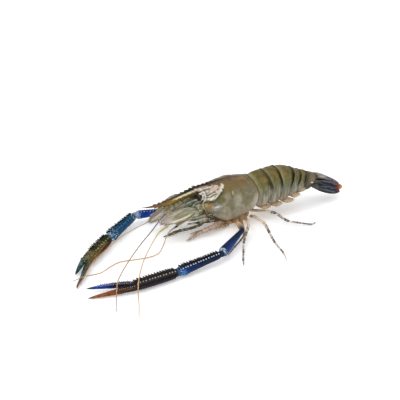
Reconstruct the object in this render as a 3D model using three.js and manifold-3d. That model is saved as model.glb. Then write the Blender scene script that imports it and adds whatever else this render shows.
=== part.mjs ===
// A large freshwater prawn, raw and whole. It lies on its belly with both long claws stretched forward.
//
// Millimetres. +X runs to the tail, -X to the head, -Y is the animal's left side and +Z is up.
// The origin is the middle of the small flat spot under the thorax that the prawn rests on.

import * as THREE from 'three';
import { LoftGeometry } from 'three/addons/geometries/LoftGeometry.js';
import { mergeVertices } from 'three/addons/utils/BufferGeometryUtils.js';
import Module from 'manifold-3d';

const wasm = await Module();
wasm.setup();

// ---------------------------------------------------------------- driving dimensions

const GAP = 0.3; // clearance between neighbouring solids
const SHELL_GAP = 0.6; // clearance between one body ring and the next, along X
const LIMB_SIDES = 8;
const SHELL_SIDES = 24;
const ARCH_STEPS = 12; // facets over a body ring, from one side plate to the other
const CORE = 0.45; // size of the inner ring that closes a body ring's curved end
const PLUG_RISE = 0.05;

// Back line seen from the side, as [x, z].
const BACK_LINE = [
  [-38, 43.6], [-25, 45.0], [-10, 46.0], [6, 46.2], [19.5, 45.0], [35, 47.2],
  [48, 48.2], [57, 47.2], [66, 43.8], [75, 39.4], [81.5, 37.0], [94.5, 31.2],
];

// The carapace: x of its front and rear edges against height, 0 at the lower margin and 1 at the back.
const CARAPACE_FRONT = [
  [0, -19], [0.15, -26], [0.35, -30.5], [0.58, -33.5], [0.72, -30.8], [0.86, -30.4], [1, -38],
];
const CARAPACE_REAR = [[0, 11], [0.15, 16], [0.3, 20], [0.5, 23], [0.7, 23.4], [0.9, 21], [1, 19.5]];
const CARAPACE_HALF_WIDTH = [[0, 10.5], [0.2, 13.8], [0.45, 16.4], [0.7, 17.2], [1, 15.8]];
const CARAPACE_LOWEST = 5.4;
const CARAPACE_FRONT_RISE = 8.1;
const CARAPACE_REAR_RISE = 4.1;
const WIDEST_HEIGHT = 0.45;

// The rostrum, the toothed blade over the eyes, as [x, top, bottom, half thickness] without teeth.
const ROSTRUM_LINE = [
  [-6, 45.6, 40, 2.6], [-20, 46.0, 38, 3.0], [-38, 44.6, 35, 3.2], [-48, 42.0, 33.6, 2.8],
  [-59, 38.8, 31.0, 2.4], [-71, 35.8, 31.4, 1.7], [-82, 34.6, 32.8, 1.0], [-89, 35.2, 34.6, 0.4],
];
const TOOTH_PITCH = 4.4;
const UPPER_TEETH = { first: -24, count: 12, height: 1.3 };
const LOWER_TEETH = { first: -46, count: 7, height: 1.0 };

// The body rings: x of each joint at the back, at mid side and at the side plates' tips.
const RING_JOINTS = [
  { back: 20.6, side: 24.4, plate: 21.2 },
  { back: 35.0, side: 39.0, plate: 33.0 },
  { back: 48.0, side: 49.8, plate: 46.5 },
  { back: 66.0, side: 60.6, plate: 57.0 },
  { back: 75.0, side: 69.4, plate: 66.5 },
  { back: 81.5, side: 76.5, plate: 74.5 },
  { back: 94.5, side: 90.0, plate: 86.5 },
];
const RING_HALF_WIDTHS = [15.0, 15.2, 14.6, 13.2, 11.8, 10.4, 7.4];
const PLATE_TIPS = [17.0, 17.6, 18.3, 20.2, 21.0, 21.2];
const PLATE_ROUNDING = 4.5;
const BELLY_RISE = 5.0;
const MID_SIDE = 0.45; // height of the mid side, from the plate tip to the back

// The flat spot under the thorax.
const BELLY_FLAT_HALF_WIDTH = 5;
const THORAX_HALF_WIDTH = 8;

const FEELER_RADIUS = 0.38;
const FEELER_SIDES = 5;
const FEELER_STEPS = 28;
const EYE_RADIUS = 2.6;
const EYE_REACH = 3.2; // from the stalk's root to the middle of the eye

const LOOKS = {
  shell: { color: 0x8d8468, roughness: 0.32 },
  ring: { color: 0x7d7445, roughness: 0.32 },
  belly: { color: 0xb79a6c, roughness: 0.45 },
  fan: { color: 0x39404f, roughness: 0.3 },
  eye: { color: 0x1b1414, roughness: 0.15 },
  scale: { color: 0xb4b79c, roughness: 0.35 },
  feeler: { color: 0xc08a52, roughness: 0.4 },
  leg: { color: 0xa7977a, roughness: 0.4 },
  claw: { color: 0x22407c, roughness: 0.28 },
  darkClaw: { color: 0x2a2624, roughness: 0.3 },
  oliveClaw: { color: 0x6b5a2a, roughness: 0.3 },
  finger: { color: 0x8a4a1e, roughness: 0.32 },
};

// ---------------------------------------------------------------- shared shapes

const UP = new THREE.Vector3(0, 0, 1);
const prawn = new THREE.Group();

function add(name, geometry, look) {
  const material = new THREE.MeshStandardMaterial({ ...LOOKS[look], metalness: 0 });
  const mesh = new THREE.Mesh(geometry, material);
  mesh.name = name;
  prawn.add(mesh);
}

function mix(a, b, t) {
  return a + (b - a) * t;
}

function point(xyz) {
  return new THREE.Vector3(xyz[0], xyz[1], xyz[2]);
}

// A smooth curve through [x, value, ...] rows, read at x. Column 1 is the value unless told otherwise.
function along(rows, x, column = 1) {
  const rising = rows[rows.length - 1][0] > rows[0][0];
  const sorted = rising ? rows : [...rows].reverse();
  const last = sorted.length - 1;
  const limited = Math.min(Math.max(x, sorted[0][0]), sorted[last][0]);
  let index = 0;
  while (index < last - 1 && sorted[index + 1][0] < limited) index += 1;
  const [start, end] = [sorted[index], sorted[index + 1]];
  const span = end[0] - start[0];
  const t = (limited - start[0]) / span;
  const slope = (row) => {
    const before = sorted[Math.max(row - 1, 0)];
    const after = sorted[Math.min(row + 1, last)];
    return (after[column] - before[column]) / (after[0] - before[0]);
  };
  const t2 = t * t;
  const t3 = t2 * t;
  return (2 * t3 - 3 * t2 + 1) * start[column] + (t3 - 2 * t2 + t) * span * slope(index)
    + (3 * t2 - 2 * t3) * end[column] + (t3 - t2) * span * slope(index + 1);
}

function loft(sections) {
  return new LoftGeometry(sections, { closed: true, capStart: true, capEnd: true });
}

// An oval ring of points across a direction. Its wide axis lies level unless it is rolled.
function ring(centre, direction, halfWide, halfTall, sides, roll) {
  const tall = UP.clone().addScaledVector(direction, -UP.dot(direction)).normalize();
  const wide = new THREE.Vector3().crossVectors(tall, direction);
  tall.applyAxisAngle(direction, roll);
  wide.applyAxisAngle(direction, roll);
  return Array.from({ length: sides }, (_, index) => {
    const angle = (index / sides) * Math.PI * 2;
    return centre.clone()
      .addScaledVector(wide, halfWide * Math.cos(angle))
      .addScaledVector(tall, halfTall * Math.sin(angle));
  });
}

// A bent limb through stations of [x, y, z, half width, half height].
function limb(stations, { sides = LIMB_SIDES, roll = 0 } = {}) {
  const centres = stations.map(point);
  const last = centres.length - 1;
  return loft(stations.map((station, index) => {
    const before = centres[Math.max(index - 1, 0)];
    const after = centres[Math.min(index + 1, last)];
    const direction = after.clone().sub(before).normalize();
    const halfTall = station[4] ?? station[3];
    return ring(centres[index], direction, station[3], halfTall, sides, roll);
  }));
}

// A straight limb segment between two joints, with girths of [share of length, half width, half height].
// Its ends stand back by the trims, so that it clears its neighbours where the limb bends.
function segment(from, to, girths, { trimStart = GAP / 2, trimEnd = GAP / 2, sides = 12 } = {}) {
  const start = point(from);
  const end = point(to);
  const direction = end.clone().sub(start).normalize();
  start.addScaledVector(direction, trimStart);
  end.addScaledVector(direction, -trimEnd);
  return loft(girths.map(([share, halfWide, halfTall = halfWide]) => (
    ring(start.clone().lerp(end, share), direction, halfWide, halfTall, sides, 0))));
}

function mirrored(stations) {
  return stations.map(([x, y, ...rest]) => [x, -y, ...rest]);
}

// Closes a hollowed end: the last ring drawn in towards its own middle, a hair proud of it.
function plug(section, outward) {
  const middle = new THREE.Vector3();
  section.forEach((corner) => middle.addScaledVector(corner, 1 / section.length));
  middle.x += outward * PLUG_RISE;
  return section.map((corner) => {
    const drawn = corner.clone().lerp(middle, 0.5);
    drawn.x = middle.x;
    return drawn;
  });
}

function solidOf(geometry) {
  const bare = new THREE.BufferGeometry();
  bare.setAttribute('position', geometry.attributes.position);
  bare.setIndex(geometry.index);
  const merged = mergeVertices(bare, 1e-4);
  return new wasm.Manifold(new wasm.Mesh({
    numProp: 3,
    vertProperties: new Float32Array(merged.attributes.position.array),
    triVerts: new Uint32Array(merged.index.array),
  }));
}

function geometryOf(solid) {
  const mesh = solid.getMesh();
  const geometry = new THREE.BufferGeometry();
  geometry.setAttribute('position', new THREE.BufferAttribute(mesh.vertProperties, 3));
  geometry.setIndex(new THREE.BufferAttribute(mesh.triVerts, 1));
  return geometry;
}

// ---------------------------------------------------------------- carapace with its rostrum

function carapaceLowerMargin(share) {
  const front = Math.max(0, 1 - share * 2);
  const rear = Math.max(0, share * 2 - 1);
  return CARAPACE_LOWEST + CARAPACE_FRONT_RISE * front ** 2 + CARAPACE_REAR_RISE * rear ** 2;
}

function carapaceSection(share, size = 1) {
  const low = carapaceLowerMargin(share);
  const backX = mix(CARAPACE_FRONT.at(-1)[1], CARAPACE_REAR.at(-1)[1], share);
  const top = along(BACK_LINE, backX);
  const halfWidth = along(CARAPACE_HALF_WIDTH, share);
  const middle = mix(low, top, 0.5);
  return Array.from({ length: SHELL_SIDES }, (_, index) => {
    const angle = (index / SHELL_SIDES) * Math.PI * 2;
    const sine = Math.sin(angle);
    const cosine = Math.cos(angle);
    const height = sine > 0
      ? WIDEST_HEIGHT + (1 - WIDEST_HEIGHT) * sine ** 0.95
      : WIDEST_HEIGHT - WIDEST_HEIGHT * Math.abs(sine) ** 0.8;
    const y = halfWidth * Math.sign(cosine) * Math.abs(cosine) ** 0.85;
    const z = mix(low, top, height);
    const edge = mix(along(CARAPACE_FRONT, height), along(CARAPACE_REAR, height), share);
    const middleX = mix(along(CARAPACE_FRONT, 0.5), along(CARAPACE_REAR, 0.5), share);
    const x = size < 1 ? mix(middleX, edge, size * 0.5) : edge;
    return new THREE.Vector3(x, y * size, mix(middle, z, size));
  });
}

function tooth(x, { first, count, height }) {
  const steps = (first - x) / TOOTH_PITCH;
  if (steps < 0 || steps >= count) return 0;
  const phase = steps - Math.floor(steps + 1e-9);
  const peak = 0.75;
  return phase <= peak ? (height * phase) / peak : (height * (1 - phase)) / (1 - peak);
}

function rostrumSection(x) {
  const thick = along(ROSTRUM_LINE, x, 3);
  const top = along(ROSTRUM_LINE, x) + tooth(x, UPPER_TEETH);
  const bottom = along(ROSTRUM_LINE, x, 2) - tooth(x, LOWER_TEETH);
  const middle = mix(bottom, top, 0.42);
  const flank = 0.5;
  const upper = mix(middle, top, 0.5);
  const lower = mix(middle, bottom, 0.5);
  const outline = [
    [-thick, middle], [-thick * flank, upper], [0, top], [thick * flank, upper],
    [thick, middle], [thick * flank, lower], [0, bottom], [-thick * flank, lower],
  ];
  return outline.map(([y, z]) => new THREE.Vector3(x, y, z));
}

function rostrum() {
  const stations = [-6, -12, -18];
  const teethEnd = UPPER_TEETH.first - UPPER_TEETH.count * TOOTH_PITCH;
  for (let x = UPPER_TEETH.first; x > teethEnd - 0.1; x -= TOOTH_PITCH) {
    stations.push(x, x - TOOTH_PITCH * 0.75);
  }
  stations.push(-83, -89);
  return loft(stations.map(rostrumSection));
}

function carapace() {
  const shares = [0, 0.03, 0.1, 0.2, 0.32, 0.45, 0.58, 0.7, 0.82, 0.92, 0.98, 1];
  const face = carapaceSection(0, CORE);
  const back = carapaceSection(1, CORE);
  const shell = loft([
    plug(face, -1), face, ...shares.map((share) => carapaceSection(share)), back, plug(back, 1),
  ]);
  return geometryOf(solidOf(shell).add(solidOf(rostrum())));
}

// The chest plates between the leg roots, flat where they rest, as [x, top, bottom, width share].
function thoraxUnderside() {
  const rows = [
    [-20, 12.2, 8, 0.5], [-16, 9.6, 2.5, 0.8], [-12, 6.7, 0, 1], [-4, 4.95, 0, 1],
    [2, 5.3, 0, 1], [8, 7.2, 0, 1], [14, 8.4, 0, 0.9], [19, 8.8, 4.5, 0.6],
  ];
  return loft(rows.map(([x, top, bottom, share]) => {
    const half = THORAX_HALF_WIDTH * share;
    const flat = BELLY_FLAT_HALF_WIDTH * share;
    const shoulder = mix(bottom, top, 0.55);
    const outline = [
      [half, shoulder], [half * 0.8, top], [-half * 0.8, top],
      [-half, shoulder], [-flat, bottom], [flat, bottom],
    ];
    return outline.map(([y, z]) => new THREE.Vector3(x, y, z));
  }));
}

// ---------------------------------------------------------------- abdomen

function jointX(joint, height) {
  const rows = [[0, joint.plate], [MID_SIDE, joint.side], [1, joint.back]];
  return along(rows, height);
}

// One section of a body ring: an arch over the back, side plates, and a hollow underside.
function ringSection(number, share, size = 1) {
  const front = RING_JOINTS[number];
  const rear = RING_JOINTS[number + 1];
  const halfWidth = mix(RING_HALF_WIDTHS[number], RING_HALF_WIDTHS[number + 1], share);
  const swell = 0.35 * Math.sin(Math.PI * share) - 0.5 * (1 - share);
  const backX = mix(front.back, rear.back, share);
  const top = along(BACK_LINE, backX) + swell;
  const curl = 1 - Math.sqrt(Math.max(0, 1 - (2 * share - 1) ** 2));
  const low = PLATE_TIPS[number] + PLATE_ROUNDING * curl;
  const belly = PLATE_TIPS[number] + PLATE_ROUNDING + BELLY_RISE * 0.5;
  const place = (y, z) => {
    const height = Math.min(1, Math.max(0, (z - low) / (top - low)));
    const start = jointX(front, height) + SHELL_GAP / 2;
    const end = jointX(rear, height) - SHELL_GAP / 2;
    const middleX = mix(jointX(front, 0.5), jointX(rear, 0.5), share);
    const edge = mix(start, end, share);
    const inward = share < 0.5 ? SHELL_GAP / 2 : -SHELL_GAP / 2;
    const x = size < 1 ? middleX + inward : edge;
    const middleZ = mix(belly, top, 0.45);
    return new THREE.Vector3(x, y * size, mix(middleZ, z, size));
  };
  const points = [];
  for (let step = 0; step <= ARCH_STEPS; step += 1) {
    const angle = (Math.PI * step) / ARCH_STEPS;
    const cosine = Math.cos(angle);
    const height = Math.sin(angle) ** 0.72;
    const y = (halfWidth + swell) * Math.sign(cosine) * Math.abs(cosine) ** 0.8;
    points.push(place(y * (1 - 0.08 * (1 - height) ** 2), mix(low, top, Math.max(0, height))));
  }
  const inner = halfWidth * 0.72;
  points.push(place(-inner, mix(low, belly, 0.6)), place(-inner * 0.7, belly));
  points.push(place(inner * 0.7, belly), place(inner, mix(low, belly, 0.6)));
  return points;
}

// The largest piece left when one ring is cut clear of the ring in front of it.
function fitBehind(solid, ringInFront) {
  const cleared = solid
    .subtract(ringInFront)
    .subtract(ringInFront.translate([GAP, 0, 0]))
    .subtract(ringInFront.translate([GAP / 2, 0, -GAP]));
  const larger = (a, b) => (b.volume() > a.volume() ? b : a);
  return cleared.decompose().reduce(larger);
}

function bodyRing(number) {
  const shares = [0, 0.1, 0.35, 0.65, 0.9, 1];
  const front = ringSection(number, 0, CORE);
  const rear = ringSection(number, 1, CORE);
  return loft([
    plug(front, -1), front, ...shares.map((share) => ringSection(number, share)), rear, plug(rear, 1),
  ]);
}

// ---------------------------------------------------------------- tail fan

function blade(from, to, halfThick, halfTall, roll) {
  const shape = [[0, 0.3], [0.08, 0.5], [0.3, 0.85], [0.6, 1], [0.85, 0.82], [0.96, 0.5], [1, 0.22]];
  const start = point(from);
  const end = point(to);
  return limb(shape.map(([share, size]) => {
    const centre = start.clone().lerp(end, share);
    return [centre.x, centre.y, centre.z, halfThick * Math.sqrt(size), halfTall * size];
  }), { roll });
}

const TELSON = [
  [95.4, 0, 29.4, 4.6, 2.2], [98, 0, 28.2, 4.8, 2.3], [106, 0, 24.4, 3.9, 1.9],
  [115, 0, 19.4, 2.6, 1.4], [120, 0, 16.2, 1.4, 0.9], [121.5, 0, 15.2, 0.6, 0.4],
];
const OUTER_UROPOD = { from: [88.6, -8.3, 21.4], to: [120.4, -5.2, 8.2], halfTall: 4.0 };
const INNER_UROPOD = { from: [91, -5.0, 25.4], to: [125, -2.4, 10.4], halfTall: 3.9 };
const UROPOD_HALF_THICK = 0.95;

// ---------------------------------------------------------------- swimmerets

// Paired paddles under the rings, largest in front, as [x, length, drop].
const SWIMMERETS = [[25, 11, 10.6], [36.5, 11.5, 10.8], [49, 11.5, 10.6], [59.5, 9, 8.4], [69, 7, 4.6]];
const SWIMMERET_SIDE = 5.4;

function swimmeret([x, length, drop], number) {
  const root = PLATE_TIPS[number] + PLATE_ROUNDING + BELLY_RISE * 0.5 - 1.8;
  const outward = drop * 0.5;
  return [
    [x, -SWIMMERET_SIDE, root, 1.0],
    [x + length * 0.3, -SWIMMERET_SIDE - outward * 0.5, root - drop * 0.45, 1.3, 1.1],
    [x + length * 0.65, -SWIMMERET_SIDE - outward * 0.9, root - drop * 0.8, 2.0, 1.7],
    [x + length, -SWIMMERET_SIDE - outward, root - drop, 0.8, 0.5],
  ];
}

// ---------------------------------------------------------------- head

function eye(side) {
  const stalk = 1.3;
  const profile = [new THREE.Vector2(0, 0), new THREE.Vector2(stalk, 0), new THREE.Vector2(stalk, 1.2)];
  for (let step = 0; step <= 6; step += 1) {
    const angle = mix(-0.9, Math.PI / 2, step / 6);
    const radius = step === 6 ? 0 : EYE_RADIUS * Math.cos(angle);
    profile.push(new THREE.Vector2(radius, EYE_REACH + EYE_RADIUS * Math.sin(angle)));
  }
  const geometry = new THREE.LatheGeometry(profile, 14);
  const outward = new THREE.Vector3(-0.2, side * 0.95, 0.15).normalize();
  const turn = new THREE.Quaternion().setFromUnitVectors(new THREE.Vector3(0, 1, 0), outward);
  geometry.applyQuaternion(turn);
  geometry.translate(-34.2, side * 4.9, 37 - side * 0.6);
  return geometry;
}

const ANTENNULE = [
  [-36.6, -4.6, 32.0, 2.3], [-45, -5.2, 29.4, 2.3], [-46, -5.3, 29.0, 1.9],
  [-53, -6.0, 25.6, 1.9], [-54, -6.2, 25.0, 1.6], [-62, -7.2, 19.4, 1.5],
];
const ANTENNA_BASE = [
  [-35.4, -10.2, 26.2, 3.6], [-38, -10.8, 25.6, 4.2], [-42, -11.8, 24.4, 3.9],
  [-46, -12.8, 22.4, 2.6], [-48, -13.2, 21.4, 1.6],
];
const LEFT_SCALE = [
  [-42.6, -14.6, 29.6, 2.2, 0.9], [-47, -15.2, 29.2, 4.6, 0.9], [-56, -15.8, 27.4, 6.2, 0.8],
  [-65, -15.4, 25.4, 5.4, 0.7], [-72, -14.4, 23.6, 2.8, 0.6], [-74.5, -14, 23, 1.0, 0.4],
];
const RIGHT_SCALE = [
  [-42.6, 17, 29.4, 2.2, 0.9], [-47, 17.2, 28, 4.6, 0.9], [-56, 15.4, 23.4, 6.2, 0.8],
  [-66, 12.2, 17.8, 5.4, 0.7], [-74, 10.6, 14.6, 2.8, 0.6], [-77, 10, 13.4, 1.0, 0.4],
];
const LEFT_SCALE_ROLL = -0.5;
const RIGHT_SCALE_ROLL = -0.35;

// Feelers: a route of points from the head to the tip.
const LEFT_ANTENNULE_ROUTE = [
  [-62.9, -7.4, 18.4], [-69, -8.6, 14.6], [-77, -12.2, 13], [-91, -27.8, 12.2], [-107, -49, 11.4],
  [-118.6, -68.4, 11], [-123.9, -79.2, 10.8], [-128, -88.8, 8.2], [-130.6, -96.6, 3.2],
  [-136.2, -111, 0.7],
];
const RIGHT_ANTENNULE_ROUTE = [
  [-62.9, 7.4, 18.4], [-66.6, 5.4, 16.8], [-71.2, 3.6, 14.2], [-81.8, -4, 10.4], [-96.2, -17, 9.2],
  [-111.2, -33, 8.8], [-122.8, -46.6, 8.8], [-130.8, -56.8, 8.9], [-137.3, -66.4, 9],
  [-142.9, -78, 8.2], [-146.2, -86, 4.2], [-149.9, -96.4, 0.7],
];
const LEFT_ANTENNA_ROUTE = [
  [-48.9, -13.4, 20.8], [-58, -13.4, 16.8], [-67.4, -13, 11.5], [-73, -17.6, 8.2], [-79.5, -24.6, 4.2],
  [-85, -28.6, 1.6], [-95.6, -29.8, 0.7], [-108, -28.2, 0.7], [-121.4, -26.4, 0.7],
  [-132, -31, 1.2], [-142.5, -38.6, 2.6], [-152.6, -43.4, 5.6], [-160.4, -45.6, 7.6],
  [-167, -46.4, 6.8], [-170, -43, 4],
];
const RIGHT_ANTENNA_ROUTE = [
  [-48.9, 13.4, 20.8], [-60, 14, 17], [-75.1, 12, 12.3], [-86.5, 12.6, 9], [-96.2, 10.8, 7],
  [-106.7, 6.6, 6], [-120.4, -3.2, 5.6], [-132, -13.6, 6.3], [-143.9, -24.2, 6.8],
  [-152.9, -34.4, 5.9], [-161.4, -45.2, 5.1], [-166.4, -50.4, 3.9], [-169.4, -53.6, 2.4],
];

function feeler(route) {
  const path = new THREE.CatmullRomCurve3(route.map(point), false, 'centripetal');
  const section = new THREE.Shape();
  for (let corner = 0; corner < FEELER_SIDES; corner += 1) {
    const angle = (corner / FEELER_SIDES) * Math.PI * 2;
    const x = FEELER_RADIUS * Math.cos(angle);
    const y = FEELER_RADIUS * Math.sin(angle);
    if (corner === 0) section.moveTo(x, y);
    else section.lineTo(x, y);
  }
  return new THREE.ExtrudeGeometry(section, { steps: FEELER_STEPS, extrudePath: path, curveSegments: 1 });
}

// ---------------------------------------------------------------- mouth limbs and slender legs

const LEFT_MAXILLIPED = [
  [-15, -10.4, 8.6, 1.9], [-23, -15.6, 8.6, 2.2], [-29, -16.4, 7.2, 2.4, 1.9], [-35.6, -16, 5.8, 1.9, 1.6],
  [-45, -17.6, 3.8, 1.6, 1.3], [-52.2, -18.6, 1.3, 0.5],
];
const RIGHT_MAXILLIPED = [
  [-17, 9, 9.4, 1.8], [-24, 11.2, 10.2, 2.2], [-36, 12, 7.6, 1.8, 1.5], [-50, 11.4, 2.4, 0.5],
];
const LEFT_FIRST_LEG = [
  [-6.4, -9.6, 2.6, 1.5], [-14, -12.8, 3.6, 1.3], [-23.5, -12.4, 3.8, 1.2], [-32, -10.8, 2.8, 1.2],
  [-37.5, -9.6, 2.1, 1.5, 1.3], [-44, -8.2, 1.0, 0.5],
];
const RIGHT_FIRST_LEG = [
  [-14.4, 10.6, 3.2, 1.5], [-22.5, 5.2, 4.6, 1.4], [-31.5, -2.6, 5, 1.4], [-42, -2.4, 3.4, 1.4],
  [-52.5, -1, 2.6, 1.5], [-60, -2.2, 2.2, 1.7, 1.5], [-68.7, -2.6, 1.1, 0.5],
];
const LEFT_WALKING_LEGS = [
  [
    [8.4, -9.6, 2.6, 1.5], [3.4, -24, 3.0, 1.1], [-1.7, -33.9, 2.6, 1.0], [-9, -40.6, 2.2, 0.9],
    [-19, -48.4, 1.8, 0.8], [-28.5, -56, 0.9, 0.45],
  ],
  [
    [13.6, -9.4, 3.6, 1.6], [8, -24, 8.4, 1.5], [4.2, -31.4, 10, 1.5], [-4, -41.6, 7.2, 1.2],
    [-10, -49.7, 5, 1.1], [-16.4, -61.4, 3, 0.9], [-21.7, -71.3, 1.6, 0.8], [-24.3, -77.5, 0.7, 0.45],
  ],
  [
    [19.4, -8.6, 5.2, 1.7], [19.4, -16, 8, 1.6], [20.2, -32.8, 9.5, 1.4], [17.5, -47.7, 8, 1.2],
    [15.7, -61.2, 5.5, 1.0], [16.6, -75.1, 2.2, 0.8], [14.4, -84.9, 0.7, 0.45],
  ],
];
const RIGHT_WALKING_LEGS = [
  [
    [4.2, 9.6, 2.8, 1.5], [3, 24, 8, 1.4], [0, 34, 9.6, 1.3], [-3, 44, 7, 1.1],
    [-4, 54, 3.4, 0.9], [-5, 63, 0.7, 0.45],
  ],
  [
    [12.2, 9.6, 3.2, 1.6], [15, 24, 9, 1.5], [17, 34, 10.4, 1.4], [17.5, 45, 7.6, 1.1],
    [16, 57, 3.4, 0.9], [14.4, 66, 0.7, 0.45],
  ],
  [
    [20.4, 7.4, 5.4, 1.7], [26, -1, 6.4, 1.6], [33, -10.4, 8.2, 1.5], [39.4, -18.4, 9, 1.4],
    [46.9, -31.3, 5, 1.2], [57, -36.4, 3.2, 0.9], [66.9, -41, 1.7, 0.8], [72.4, -39.6, 1.9, 0.45],
  ],
];

// ---------------------------------------------------------------- claws

const LEFT_CLAW = {
  side: 'left',
  root: [2.4, -10.8, 4.6],
  knee: [-3.4, -34.4, 9],
  elbow: [-38.8, -62.4, 8],
  wrist: [-84.5, -70, 5.4],
  knuckle: [-125.1, -73.9, 5.3],
  fixedTip: [-164.8, -69.7, 1.4],
  movingTip: [-162.7, -60, 4.4],
  meralGirths: [2.0, 2.2, 3.4, 4.4],
  fingerShift: 0,
};
const RIGHT_CLAW = {
  side: 'right',
  root: [-6.6, 11.2, 4.8],
  knee: [-31, 23.6, 10.4],
  elbow: [-83.6, 33.8, 9],
  wrist: [-118.7, 8.5, 6.2],
  knuckle: [-149.4, -19.6, 5.6],
  fixedTip: [-163.6, -32, 2.8],
  movingTip: [-169, -50.4, 1.8],
  meralGirths: [1.9, 2.0, 2.6, 3.9],
  fingerShift: 0.8,
};
const FINGER_SPREAD = 2.25;
const FINGER_BOW = 0.9;
const KNEE_RADIUS = 1.9;
const ELBOW_RADIUS = 3.2;
const WRIST_RADIUS = 3.7;
// Half width and half height along each segment, as [share of length, half width, half height].
const ISCHIUM_GIRTHS = [[0, 2.1], [0.3, 2.5], [0.85, 2.6], [1, KNEE_RADIUS]];
const CARPUS_GIRTHS = [
  [0, ELBOW_RADIUS], [0.08, 4.0], [0.35, 4.2], [0.75, 4.7], [0.94, 5.0], [1, WRIST_RADIUS],
];
const PALM_GIRTHS = [[0, WRIST_RADIUS], [0.06, 4.7], [0.3, 5.1], [0.7, 5.1], [0.97, 4.6]];
const FIXED_FINGER_GIRTHS = [
  [0.015, 2.2, 3.2], [0.3, 2.2, 2.8], [0.6, 1.8, 2.1], [0.88, 1.0, 1.2], [1, 0.35, 0.35],
];
const MOVING_FINGER_GIRTHS = [
  [0.03, 1.8, 2.6], [0.1, 2.1, 2.9], [0.35, 2.1, 2.5], [0.65, 1.7, 1.9], [0.9, 0.9, 1.1], [1, 0.35, 0.35],
];

function bendTrim(a, b, c, radius) {
  const first = point(b).sub(point(a));
  const second = point(c).sub(point(b));
  return GAP / 2 + radius * Math.tan(first.angleTo(second) / 2);
}

// Level direction from the palm's middle line towards the body's middle line.
function medialOf(claw) {
  const axis = point(claw.knuckle).sub(point(claw.wrist)).normalize();
  const across = new THREE.Vector3().crossVectors(UP, axis).normalize();
  return claw.side === 'left' ? across.negate() : across;
}

function palm(claw, trimStart) {
  const medial = medialOf(claw);
  const wrist = point(claw.wrist);
  const knuckle = point(claw.knuckle);
  const tip = point(claw.fixedTip);
  wrist.addScaledVector(knuckle.clone().sub(wrist).normalize(), trimStart);
  const palmStations = PALM_GIRTHS.map(([share, half]) => (
    [...wrist.clone().lerp(knuckle, share).toArray(), half]));
  const fingerStations = FIXED_FINGER_GIRTHS.map(([share, halfWide, halfTall]) => {
    const offset = (FINGER_SPREAD + claw.fingerShift) * (1 - share);
    const centre = knuckle.clone().lerp(tip, share).addScaledVector(medial, -offset);
    return [...centre.toArray(), halfWide, halfTall];
  });
  return limb([...palmStations, ...fingerStations], { sides: 12 });
}

function movingFinger(claw) {
  const medial = medialOf(claw);
  const knuckle = point(claw.knuckle);
  const tip = point(claw.movingTip);
  return limb(MOVING_FINGER_GIRTHS.map(([share, halfWide, halfTall]) => {
    const offset = (FINGER_SPREAD - claw.fingerShift) * (1 - share) + FINGER_BOW * Math.sin(Math.PI * share);
    const centre = knuckle.clone().lerp(tip, share).addScaledVector(medial, offset + GAP);
    return [...centre.toArray(), halfWide, halfTall];
  }), { sides: 10 });
}

function addClaw(claw, palmLook, fingerLook) {
  const { root, knee, elbow, wrist, knuckle, meralGirths } = claw;
  const name = `claw_${claw.side}`;
  const kneeTrim = bendTrim(root, knee, elbow, KNEE_RADIUS);
  const elbowTrim = bendTrim(knee, elbow, wrist, ELBOW_RADIUS);
  const wristTrim = bendTrim(elbow, wrist, knuckle, WRIST_RADIUS);
  const meralShares = [0, 0.07, 0.5, 0.9];
  const merus = [...meralShares.map((share, index) => [share, meralGirths[index]]), [1, ELBOW_RADIUS]];
  add(`${name}_ischium`, segment(root, knee, ISCHIUM_GIRTHS, { trimEnd: kneeTrim }), 'belly');
  add(`${name}_merus`, segment(knee, elbow, merus, { trimStart: kneeTrim, trimEnd: elbowTrim }), 'claw');
  const carpus = segment(elbow, wrist, CARPUS_GIRTHS, { trimStart: elbowTrim, trimEnd: wristTrim });
  add(`${name}_carpus`, carpus, 'claw');
  add(`${name}_palm`, palm(claw, wristTrim), palmLook);
  add(`${name}_finger`, movingFinger(claw), fingerLook);
}

// ---------------------------------------------------------------- assembly

add('carapace', carapace(), 'shell');
add('thorax_underside', thoraxUnderside(), 'belly');
let ringInFront = solidOf(carapace());
for (let number = 0; number < RING_JOINTS.length - 1; number += 1) {
  ringInFront = fitBehind(solidOf(bodyRing(number)), ringInFront);
  add(`abdomen_${number + 1}`, geometryOf(ringInFront), 'ring');
}

add('telson', limb(TELSON), 'fan');
for (const [name, { from, to, halfTall }] of [['outer', OUTER_UROPOD], ['inner', INNER_UROPOD]]) {
  const [rightFrom, rightTo] = mirrored([from, to]);
  add(`uropod_left_${name}`, blade(from, to, UROPOD_HALF_THICK, halfTall, 0), 'fan');
  add(`uropod_right_${name}`, blade(rightFrom, rightTo, UROPOD_HALF_THICK, halfTall, 0), 'fan');
}

SWIMMERETS.forEach((paddle, number) => {
  const stations = swimmeret(paddle, number);
  add(`swimmeret_left_${number + 1}`, limb(stations, { sides: 6 }), 'belly');
  add(`swimmeret_right_${number + 1}`, limb(mirrored(stations), { sides: 6 }), 'belly');
});

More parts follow.
